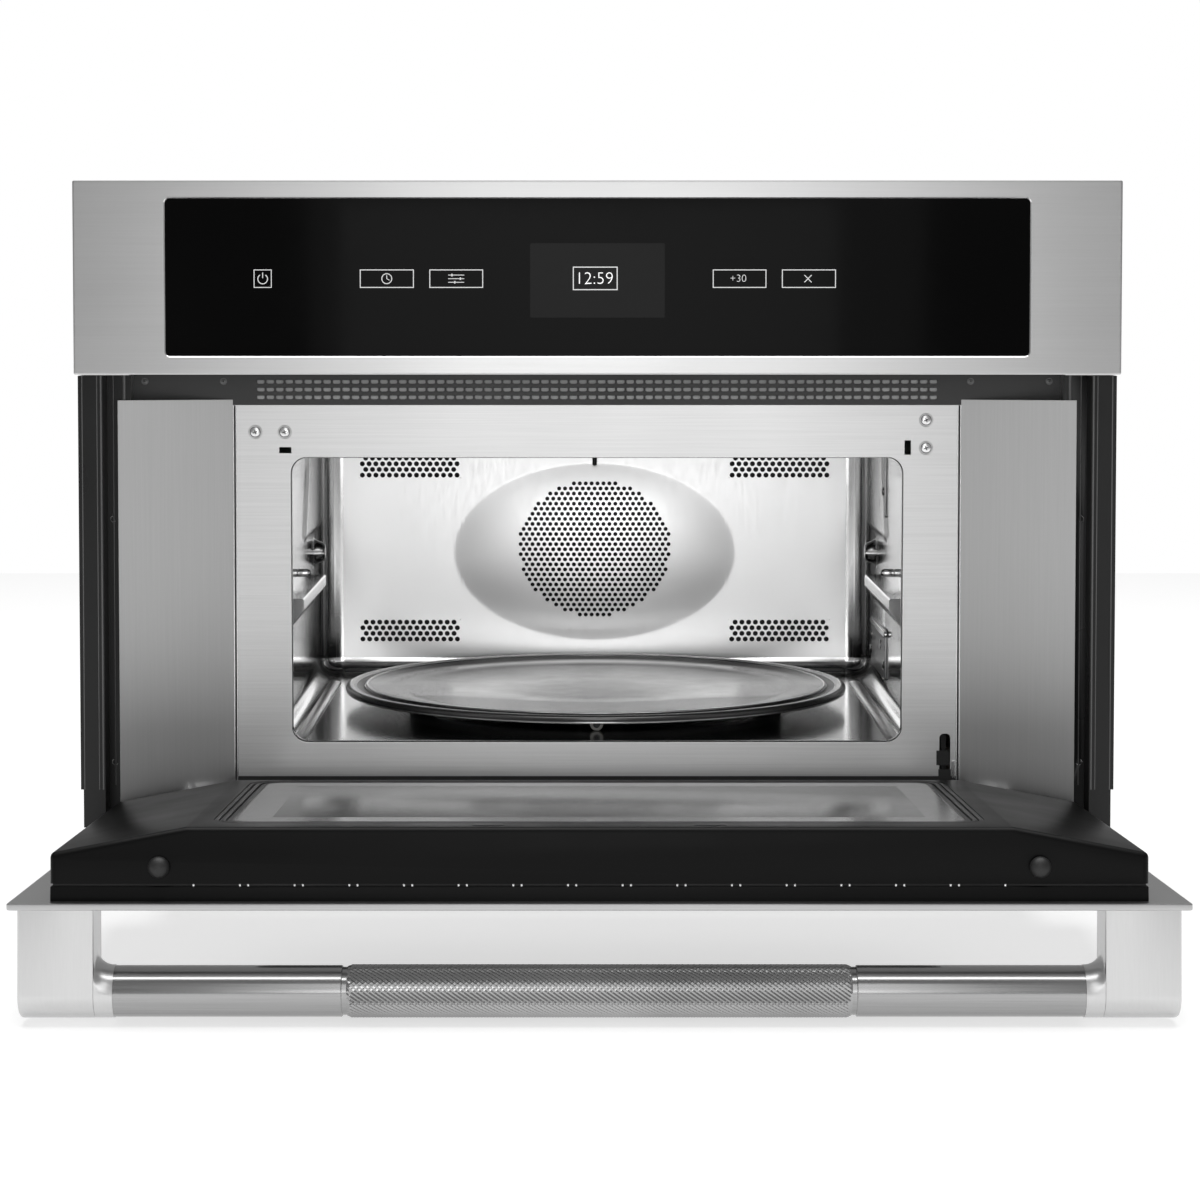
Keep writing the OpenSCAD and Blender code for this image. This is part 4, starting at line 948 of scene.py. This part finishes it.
def build_legends():
    """Key outlines and pictograms on the glass, and the clock in its frame."""
    z = (415.2, 427.8)
    zc = sum(z) / 2
    lines = [stroke(rectangle((-247.4, -235.0), z), 0.55, True)]
    for x in ((-170.9, -132.6), (-120.8, -82.7), (83.4, 121.4), (133.2, 171.5)):
        lines.append(stroke(rectangle(x, z), 0.62, True))
    lines.append(stroke(arc(-241.2, zc - 0.2, 3.5, -235, 55), 0.6))
    lines.append(stroke([(-241.2, zc + 0.4), (-241.2, zc + 4.4)], 0.6))
    timer, sliders, stop = -151.8, -101.8, 151.7
    lines.append(stroke(arc(timer, zc, 3.6, 0, 342), 0.6, True))
    lines.append(stroke([(timer, zc + 2.4), (timer, zc), (timer + 1.9, zc - 1.1)], 0.5))
    for row, knob in ((2.6, -3), (0, 3), (-2.6, -1)):
        lines.append(stroke([(sliders - 5.8, zc + row), (sliders + 5.8, zc + row)], 0.5))
        x = sliders + knob
        lines.append(stroke([(x, zc + row - 0.9), (x, zc + row + 0.9)], 0.9))
    for sign in (1, -1):
        lines.append(stroke([(stop - 2.6, zc - 2.6 * sign), (stop + 2.6, zc + 2.6 * sign)], 0.6))
    lines.append(stroke(rectangle((-17.4, 14.2), (413.6, 429.8)), 0.7, True))
    add_piece("key_legends", join(*lines), "legend", "chassis")
    digits("key_add_thirty", "+30", (101.4, zc), 5.4, "legend")
    digits("clock_digits", "12:59", (-2.2, 421.4), 8.8, "digits")
    window = box_outline(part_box("display_module"), 0, 1 * MM, 3)
    pane = slab(window, (GLASS_Y - 0.02 * MM, GLASS_Y + 0.1 * MM))
    add_piece("display_window", pane, "display", "chassis")


def build_plate_seams():
    """Painted shade in the seams between the front plate and the wings, with rolled edges, and a painted
    shadow line along the plate's foot.
    """
    edge, z = high("front_plate", X), (low("front_plate", Z), high("front_plate", Z) - 0.3 * MM)
    shade_strips, beads = [], []
    # painted shade: dark strips down the seams between plate and wings
    for side in (-1, 1):
        shade_strips.append(slab(rectangle(sorted((side * (edge - 1.7 * MM), side * (edge - 0.5 * MM))), z),
            (PLATE_Y - 0.03 * MM, PLATE_Y + 0.2 * MM)))
        for inner, width in ((2.5 * MM, 0.8 * MM), (0.5 * MM, 0.9 * MM)):
            section = half_round(side * (edge - inner + width / 2), width / 2, PLATE_Y + 0.1 * MM, 0.22 * MM)
            beads.append(upright_bead(section, z))
    # painted shadow: a dark strip along the plate's foot, over the door
    shade_strips.append(slab(rectangle((-edge + 2 * MM, edge - 2 * MM), (z[0] + 0.2 * MM, 52.4 * MM)),
        (PLATE_Y - 0.05 * MM, PLATE_Y + 0.2 * MM)))
    add_piece("plate_seam_painted_shade", join(*shade_strips), "shade_fill", "chassis")
    add_piece("plate_seam_edges", join(*beads), "screw", "chassis")


def build_latch_slot():
    """Stepped shadow and the small catch beside the slot of the interlock lever."""
    depths = (PLATE_Y - 0.04 * MM, PLATE_Y + 0.2 * MM)
    dark = [slab(rectangle(*mm(sides)), depths)
        for sides in (((252.3, 261.6), (60.5, 71.5)), ((253.8, 263.2), (52.4, 57.5)))]
    add_piece("latch_slot_steps", join(*dark), "shade_fill", "chassis")
    catch = slab(rectangle(*mm(((263.6, 266.2), (51, 64)))), (PLATE_Y - 0.5 * MM, PLATE_Y + 0.2 * MM))
    add_piece("latch_catch", catch, "screw", "chassis", bevel=0.3 * MM)


CABINET_HOLES_X = 356 * MM
CABINET_HOLES_Z = (65 * MM, 245 * MM)


def build_trim_ribs():
    """Raised ribs along the rails and the flanges beside them, in a lighter black that paints their
    highlights, and painted shade in the cabinet holes.
    """
    ribs = []
    z = (low("side_trim_right", Z) + 28 * MM, high("side_trim_right", Z))
    face, flange = low("side_trim_right", Y), high("side_trim_right", Y) - 0.8 * MM
    for x, width, y in ((375.0, 0.9, face), (364.2, 0.8, face), (361.3, 1.3, face), (355.5, 0.9, flange),
            (347.5, 2.2, flange)):
        for side in (-1, 1):
            ribs.append(upright_bead(half_round(side * x * MM, width / 2 * MM, y, 0.4 * MM), z))
    painted_hole_shades = []
    for side in (-1, 1):
        for height in CABINET_HOLES_Z:
            painted_hole_shades.append(lathe([(2.2 * MM, flange + 0.5 * MM), (2.2 * MM, flange + 0.75 * MM)],
                (side * CABINET_HOLES_X, 0, height), Y, 24))
    # painted shade: near-black discs inside the cabinet screw holes
    add_piece("cabinet_hole_shades", join(*painted_hole_shades), "shade_fill", "chassis")
    # painted highlights: raised ribs in a lighter black than the trim they stand on
    add_piece("side_trim_ribs", join(*ribs), "trim_rib", "chassis")


# ---------------------------------------------------------------- door

SKIN, LINER = shut_box("door_skin"), shut_box("door_liner")
PANE, SEAL = shut_box("door_inner_glass"), shut_box("door_gasket")
WINDOW = shut_box("door_window_glass")
LINER_TOP = 339 * MM
LINER_SIDE_Y = FRONT_Y + 35.5 * MM
LINER_FLAT_X = 265 * MM
LINER_LOW = 50 * MM
SEAM_Y = FRONT_Y + 15.1 * MM


def build_skin():
    """Door skin with a hemmed, rounded edge and a bright chamfer round the window."""
    front, back = SKIN[0].y, SKIN[1].y

    def outer(inset):
        return box_outline(SKIN, inset, 2 * MM - inset / 2, 5)

    def hole(inset):
        return box_outline(WINDOW, -inset, 12 * MM + inset, 5)

    profile = [(1.2 * MM, front), (0.5 * MM, front + 0.2 * MM), (0.12 * MM, front + 0.6 * MM),
        (0, front + 1.2 * MM), (0, back - 0.9 * MM), (0.3 * MM, back - 0.3 * MM), (1.0 * MM, back)]
    rings = [at_depth(hole(0.8 * MM), front), at_depth(hole(2 * MM), front)]
    rings += [at_depth(outer(inset), y) for inset, y in [(2.5 * MM, front)] + profile + [(2.5 * MM, back)]]
    rings += [at_depth(hole(0), back), at_depth(hole(0), front + 0.6 * MM)]
    panel = bands(rings + rings[:1], (False, False))
    add_piece("door_skin_panel", panel, "skin", "door", ("door_skin",), 24, opened=True)


def rounded_polygon(points, radii, steps=5):
    """Points of a closed polygon whose corners are arcs of the given radii."""
    result = []
    for n, (corner, radius) in enumerate(zip(points, radii)):
        here = Vector(corner)
        before = (Vector(points[n - 1]) - here).normalized()
        after = (Vector(points[(n + 1) % len(points)]) - here).normalized()
        half = before.angle(after) / 2
        reach = radius / math.tan(half)
        middle = here + (before + after).normalized() * radius / math.sin(half)
        start = here + before * reach - middle
        turn = start.angle_signed(here + after * reach - middle)
        for step in range(steps + 1):
            result.append(tuple(middle + Matrix.Rotation(-turn * step / steps, 2) @ start))
    return result


def liner_rings(depths, z, edge, inset=0.0):
    """Rings of the liner's outline between two depths, stacked in height with rounded ends."""
    outer_y = min(depths[1], LINER_SIDE_Y)
    half = LINER[1].x - inset

    def ring(shrink, height):
        radius = max(0.4 * MM, edge - shrink)
        points = [(-half + shrink, depths[0]), (-half + shrink, outer_y - shrink * 0.9)]
        radii = [0.2 * MM, radius]
        if depths[1] > LINER_SIDE_Y:
            points += [(-LINER_FLAT_X, depths[1] - shrink), (LINER_FLAT_X, depths[1] - shrink)]
            radii += [14 * MM, 14 * MM]
        points += [(half - shrink, outer_y - shrink * 0.9), (half - shrink, depths[0])]
        radii += [radius, 0.2 * MM]
        return [(px, py, height) for px, py in rounded_polygon(points, radii)]

    profile = [(edge * (1 - math.sin(a)), edge * (1 - math.cos(a))) for a in quarter(5)]
    rings = [ring(shrink, z[0] + rise) for shrink, rise in profile]
    return rings + [ring(shrink, z[1] - rise) for shrink, rise in profile[::-1]]


def add_moulding(name, solid, pits, mat, stands_for=(), sharp=35.0, bevel=0.0):
    """A liner piece with pits cut into it while the door is drawn shut."""
    obj = new_object(name, *solid)
    for pit in pits:
        carve(obj, new_object("pit", *pit))
    obj.data.transform(OPENING)
    finish_piece(obj, mat, "door", stands_for, sharp, bevel)


def build_liner():
    """Moulded liner: an upper shell over a lower frame, with a slotted seam between them, painted shade
    inside the seam and painted glints at the ends of the slots.
    """
    gap, top_y = 0.7 * MM, LINER[1].y
    shells = (("door_liner_shell", (SEAM_Y + gap, top_y), 4 * MM, 0),
        ("door_liner_frame", (SKIN[1].y, SEAM_Y - gap), 1.2 * MM, 0.3 * MM))
    for name, depths, edge, inset in shells:
        solid = bands(liner_rings(depths, (LINER_LOW, LINER_TOP), edge, inset))
        pit = slab(seal_outline(-6 * MM), (SKIN[1].y - 1 * MM, top_y + 1 * MM))
        add_moulding(name, solid, [pit], "liner", ("door_liner",), 28)
    half = LINER[1].x - 2 * MM
    # painted shade: a near-black sheet inside the seam, seen through the gap between shell and frame
    seam_shade = slab(rectangle((-half, half), (LINER_LOW + 2 * MM, LINER_TOP - 1.5 * MM)),
        (SEAM_Y - 1 * MM, SEAM_Y + 1 * MM))
    pit = slab(seal_outline(-5 * MM), (SEAM_Y - 9 * MM, SEAM_Y + 9 * MM))
    add_moulding("door_seam_painted_shade", seam_shade, [pit], "shade_fill")
    slots, pitch, slot_long = 15, 35 * MM, 29.5 * MM
    profile = mm([(0.1, -1.5), (0.65, -1.5), (0.65, -0.5), (0.3, -0.2), (0.05, -0.1)])
    # painted glints: small bright metal cups at both ends of each slot
    slot_glints = []
    for n in range(slots):
        middle = (n - (slots - 1) / 2) * pitch
        for side in (-1, 1):
            x = middle + side * (slot_long / 2 + 0.1 * MM)
            verts, faces = lathe(profile, (x, SEAM_Y, LINER_TOP), Z, 12)
            slot_glints.append(([(px, SEAM_Y + (py - SEAM_Y) * 2.1, pz) for px, py, pz in verts], faces))
    add_piece("door_slot_glints", join(*slot_glints), "screw", "door", opened=True)


def build_kick():
    """Thin lower part of the door, with a notch for each hinge arm."""
    outline = rounded_outline((LINER[0].x, LINER[1].x), (LINER[0].z, LINER_LOW + 1 * MM), 1 * MM, 3)
    deep, room = FRONT_Y + 20 * MM, 1.5 * MM
    notches = [slab(rectangle((arm[0].x - room, arm[1].x + room), (26 * MM, LINER_LOW - room)),
        (deep - 12 * MM, deep + 1 * MM)) for arm in solids_of("hinge_arms")]
    add_moulding("door_kick", slab(outline, (SKIN[1].y, deep)), notches, "liner", bevel=1.0 * MM)


def seal_outline(inset):
    return box_outline(SEAL, inset, max(1.5 * MM, 18 * MM - inset), 8)


def build_pane():
    """Gasket of stepped beads round the inner pane, and the pane with its printed border."""
    top = LINER[1].y
    steps = [(-6, 0.9), (-5.6, 0.3), (-4.8, 0.02), (-3.6, 0.02), (-3.0, 0.4), (-2.6, 1.6), (-1.9, 1.6),
        (-1.5, 0.5), (-0.9, 0.15), (0.9, 0.15), (1.5, 0.5), (1.9, 1.8), (2.7, 1.8), (3.1, 0.8), (3.8, 0.45),
        (6.2, 0.45), (7, 0.9), (7, 5), (-6, 5)]
    gasket = moulding([(inset, top - depth) for inset, depth in mm(steps)], seal_outline)
    add_piece("pane_gasket", gasket, "gasket", "door", ("door_gasket",), 28, opened=True)
    wide, back, front = 7 * MM, PANE[0].y, PANE[1].y
    shape = [(wide + 0.6 * MM, front), (wide + 0.15 * MM, front - 0.15 * MM), (wide, front - 0.6 * MM),
        (wide, back)]
    pane = bands([at_depth(seal_outline(inset), y) for inset, y in shape])
    add_piece("door_inner_pane", pane, "pane", "door", ("door_inner_glass",), 28, opened=True)
    band = rectangle((wide + 1.2 * MM, 31 * MM), (front - 0.1 * MM, front + 0.03 * MM))
    border = moulding(band, seal_outline)
    add_piece("pane_border_print", border, "pane_border", "door", opened=True)


def build_bumpers():
    """Domed rubber bumpers on the liner's top face."""
    for n, (lowest, highest) in enumerate(solids_of("door_bumpers", OPENING.inverted())):
        radius, x, y = (highest.x - lowest.x) / 2, (lowest.x + highest.x) / 2, (lowest.y + highest.y) / 2
        rise = highest.z - LINER_TOP
        dome = [(radius * math.cos(a), LINER_TOP + 1.2 * MM + (rise - 1.2 * MM) * math.sin(a))
            for a in quarter(10)[:-1]] + [(0.01 * MM, highest.z)]
        foot = [(radius * 0.9, LINER_TOP - 1 * MM), (radius * 0.97, LINER_TOP + 0.3 * MM)]
        solid = lathe(foot + dome, (x, y, 0), Z, 40)
        add_piece(f"door_bumper_{n + 1}", solid, "rubber", "door", ("door_bumpers",), 50,
            opened=True)


# ---------------------------------------------------------------- handle

BAR = shut_box("handle_bar")
BAR_R = (BAR[1].z - BAR[0].z) / 2
BAR_Y, BAR_Z = (BAR[0].y + BAR[1].y) / 2, (BAR[0].z + BAR[1].z) / 2
GRIP_X = 162.3 * MM
BRACKET = shut_box("handle_brackets")
COLLAR_X, SLAB_X = BAR[1].x, BAR[1].x + 12 * MM


def bracket_ring(x, inset, end_y, rounded_end):
    """Section of a bracket at x: a half-round nose on the bar's axis, and a flat or round door end."""
    radius = BAR_R - inset
    ring = [(x, BAR_Y - radius * math.cos(a), BAR_Z + radius * math.sin(a))
        for a in (math.radians(-90 + 180 * n / 24) for n in range(25))]
    for n in range(13):
        a = math.radians(90 - 180 * n / 12)
        bulge = radius * math.cos(a) if rounded_end else 0
        ring.append((x, end_y + bulge, BAR_Z + radius * math.sin(a)))
    return ring


def build_brackets():
    """Slab brackets with a half-round end, and a cove that runs out into the bar."""
    edge, cove = 2.4 * MM, 10.5 * MM
    outer, door_y = BRACKET[1].x, BRACKET[1].y
    for side, name in SIDES:
        rings = []
        for a in quarter(6):
            back, inset = edge * (1 - math.cos(a)), edge * (1 - math.sin(a))
            rings.append(bracket_ring(outer - back, inset, door_y, False))
        for out, inset in ((0.8, 0), (0.25, 0.2), (0, 0.75)):
            rings.append(bracket_ring(SLAB_X + out * MM, inset * MM, door_y, False))
        for a in quarter(10):
            t = cove * (1 - math.cos(a))
            rise = cove - math.sqrt(max(0.0, cove ** 2 - (cove - t) ** 2))
            rings.append(bracket_ring(SLAB_X - t, 0.02 * MM, BAR_Y + rise, True))
        rings.append(bracket_ring(COLLAR_X - 0.01 * MM, 0.02 * MM, BAR_Y, True))
        rings = [[(side * px, py, pz) for px, py, pz in ring] for ring in rings]
        add_piece("handle_bracket_" + name, bands(rings), "bracket", "door",
            ("handle_brackets",), 32, opened=True)


def build_bar():
    """Round bar with a groove at each end of the grip."""
    groove, plain = 3 * MM, BAR_R - 0.5 * MM
    neck, shoulder = BAR_R - 1.6 * MM, GRIP_X + groove
    half = [(neck, GRIP_X - 0.5 * MM), (neck, shoulder), (plain - 0.5 * MM, shoulder),
        (plain, shoulder + 0.5 * MM), (plain, COLLAR_X - 0.1 * MM), (plain - 1 * MM, COLLAR_X + 2 * MM)]
    for side, name in SIDES:
        solid = lathe([(radius, side * along) for radius, along in half], (0, BAR_Y, BAR_Z), X, 96)
        add_piece("handle_bar_" + name, solid, "handle", "door", ("handle_bar",), 25,
            opened=True)


def build_grip():
    """Knurled grip: two families of cut helices, one deep and one shallow, meshed along their crossings."""
    starts, pitch, deep, shallow = 38, 3.8 * MM, 0.58 * MM, 0.12 * MM
    row_step = pitch / 4
    rows = int(2 * GRIP_X / row_step)
    around = 2 * starts
    verts, faces = [], []
    for k in range(rows + 1):
        x = GRIP_X - 2 * GRIP_X * k / rows
        fade = min(1.0, min(k, rows - k) / 3)
        for j in range(around):
            a = math.tau * (j + k / 2) / around
            lift = deep * ((j + k) % 2) + shallow * (j % 2)
            radius = BAR_R - 0.02 * MM - (deep + shallow) + lift * fade - 0.5 * MM * (1 - fade)
            verts.append((x, BAR_Y + radius * math.cos(a), BAR_Z + radius * math.sin(a)))
    for k in range(rows):
        for j in range(around):
            here, up = k * around + j, (k + 1) * around + j
            right, up_left = k * around + (j + 1) % around, (k + 1) * around + (j - 1) % around
            faces.append((here, right, up))
            faces.append((here, up, up_left))
    faces.append(tuple(range(around)))
    faces.append(tuple(rows * around + j for j in range(around)))
    add_piece("handle_grip", (verts, faces), "knurl", "door", sharp=8, opened=True)


# ---------------------------------------------------------------- the other CAD nodes

# CAD nodes that show as they are: material and edge rounding in millimetres, and the nodes
DRESSED = {
    ("galvanised", 0.3): "base_pan top_cover side_panel_left side_panel_right rear_panel waveguide "
        "convection_housing hinge_brackets",
    ("rubber", 0.8): "cord_gland",
    ("cavity_floor", 0): "cavity_floor",
    ("cavity", 0): "cavity_ceiling",
    ("plate", 0.25): "front_plate",
    ("wing", 0.3): "side_wing_left side_wing_right",
    ("trim", 0.7): "side_trim_left side_trim_right",
    ("control_glass", 0.3): "control_glass",
    ("duct", 0.4): "display_module roller_ring interlock_switches",
    ("board", 0): "touch_board main_board",
    ("cavity", 0.3): "waveguide_cover",
    ("motor", 0.3): "magnetron",
    ("iron", 1.0): "hv_transformer",
    ("motor", 0.8): "hv_capacitor blower_motor convection_motor",
    ("duct", 0.8): "blower_housing",
    ("fan", 0): "blower_wheel convection_fan",
    ("heater", 0): "convection_heater",
    ("ceramic", 0.8): "cavity_lamp",
    ("motor", 0.6): "turntable_motor",
    ("nylon", 0.5): "drive_coupling",
    ("nylon", 0.4): "roller_1 roller_2 roller_3",
    ("screw", 0.4): "hinge_pins",
    ("rubber", 0.4): "interlock_lever",
    ("door_glass", 0.4): "door_window_glass",
    ("trim", 0): "window_screen",
    ("liner", 0.12): "door_clips",
    ("galvanised", 0.6): "hinge_arms",
}


def dress_all():
    """Looks of the CAD nodes that no piece replaces."""
    for (mat, bevel), names in DRESSED.items():
        for node in names.split():
            dress(node, mat, bevel * MM)


build_rear_wall()
build_corners()
build_side_walls()
build_floor_fillet()
build_wall_covers()
build_sensor()
build_tray()
build_screws()
build_mouth_lip()
build_vent_strip()
build_fascia()
build_legends()
build_plate_seams()
build_latch_slot()
build_trim_ribs()
build_skin()
build_liner()
build_kick()
build_pane()
build_bumpers()
build_brackets()
build_bar()
build_grip()
dress_all()


# ---------------------------------------------------------------- studio

def softbox(name, place, target, size, power, spread_deg=180):
    light = bpy.data.lights.new(name, "AREA")
    light.shape, light.size, light.size_y = "RECTANGLE", *size
    light.energy = power
    light.spread = math.radians(spread_deg)
    obj = bpy.data.objects.new(name, light)
    obj.location = place
    obj.rotation_euler = (Vector(target) - Vector(place)).to_track_quat("-Z", "Y").to_euler()
    obj.visible_camera = False
    bpy.context.collection.objects.link(obj)


def build_world(seen, lit):
    """Plain backdrop: white to the camera, dimmer where it lights and is reflected."""
    world = bpy.data.worlds.new("studio")
    bpy.context.scene.world = world
    world.use_nodes = True
    tree = world.node_tree
    tree.nodes.clear()
    path, mix, out = (tree.nodes.new(k) for k in ("ShaderNodeLightPath", "ShaderNodeMixShader",
        "ShaderNodeOutputWorld"))
    shades = []
    for strength in (lit, seen):
        shade = tree.nodes.new("ShaderNodeBackground")
        shade.inputs["Color"].default_value = (1, 1, 1, 1)
        shade.inputs["Strength"].default_value = strength
        shades.append(shade)
    tree.links.new(path.outputs["Is Camera Ray"], mix.inputs[0])
    tree.links.new(shades[0].outputs[0], mix.inputs[1])
    tree.links.new(shades[1].outputs[0], mix.inputs[2])
    tree.links.new(mix.outputs[0], out.inputs["Surface"])


def build_floor():
    """Pale sheet under the oven, bright enough to fade into the backdrop."""
    level = low("handle_brackets", Z) - 4 * MM
    mesh = bpy.data.meshes.new("studio_floor")
    half = 2.6
    corners = [(px, py, level) for px, py in rectangle((-half, half), (-half, half))]
    mesh.from_pydata(corners, [], [(0, 1, 2, 3)])
    obj = bpy.data.objects.new("studio_floor", mesh)
    shader = Shader("studio_floor_paper", grey(0.5), roughness=0.9)
    shader.set("Emission Color", (1, 1, 1, 1))
    shader.set("Emission Strength", 0.62)
    obj.data.materials.append(shader.mat)
    bpy.context.collection.objects.link(obj)


def build_camera():
    """Camera in front of the oven, at its own height and a little to the left, shifted down."""
    camera = bpy.data.objects.new("camera", bpy.data.cameras.new("camera"))
    camera.location = (-0.0114, -2.549, 0.412)
    camera.rotation_euler = (math.radians(90 - 2.85), 0, 0)
    camera.data.lens, camera.data.sensor_width = 92.4, 36.0
    camera.data.shift_x, camera.data.shift_y = 0.0153, -0.129
    bpy.context.collection.objects.link(camera)
    bpy.context.scene.camera = camera


build_world(1.0, 0.3)
build_floor()
build_camera()
softbox("top_panel", (0, -0.4, 3.2), (0, -0.3, 0), (3.2, 3.2), 120)
softbox("cavity_fill", (0.0, -2.45, 0.34), (0, 0.1, 0.2), (0.7, 0.4), 0.055, 30)
softbox("front_panel", (0.05, -3.6, 1.3), (0, -0.3, 0.3), (1.15, 2.6), 12)
bpy.context.scene.view_settings.view_transform = "Standard"
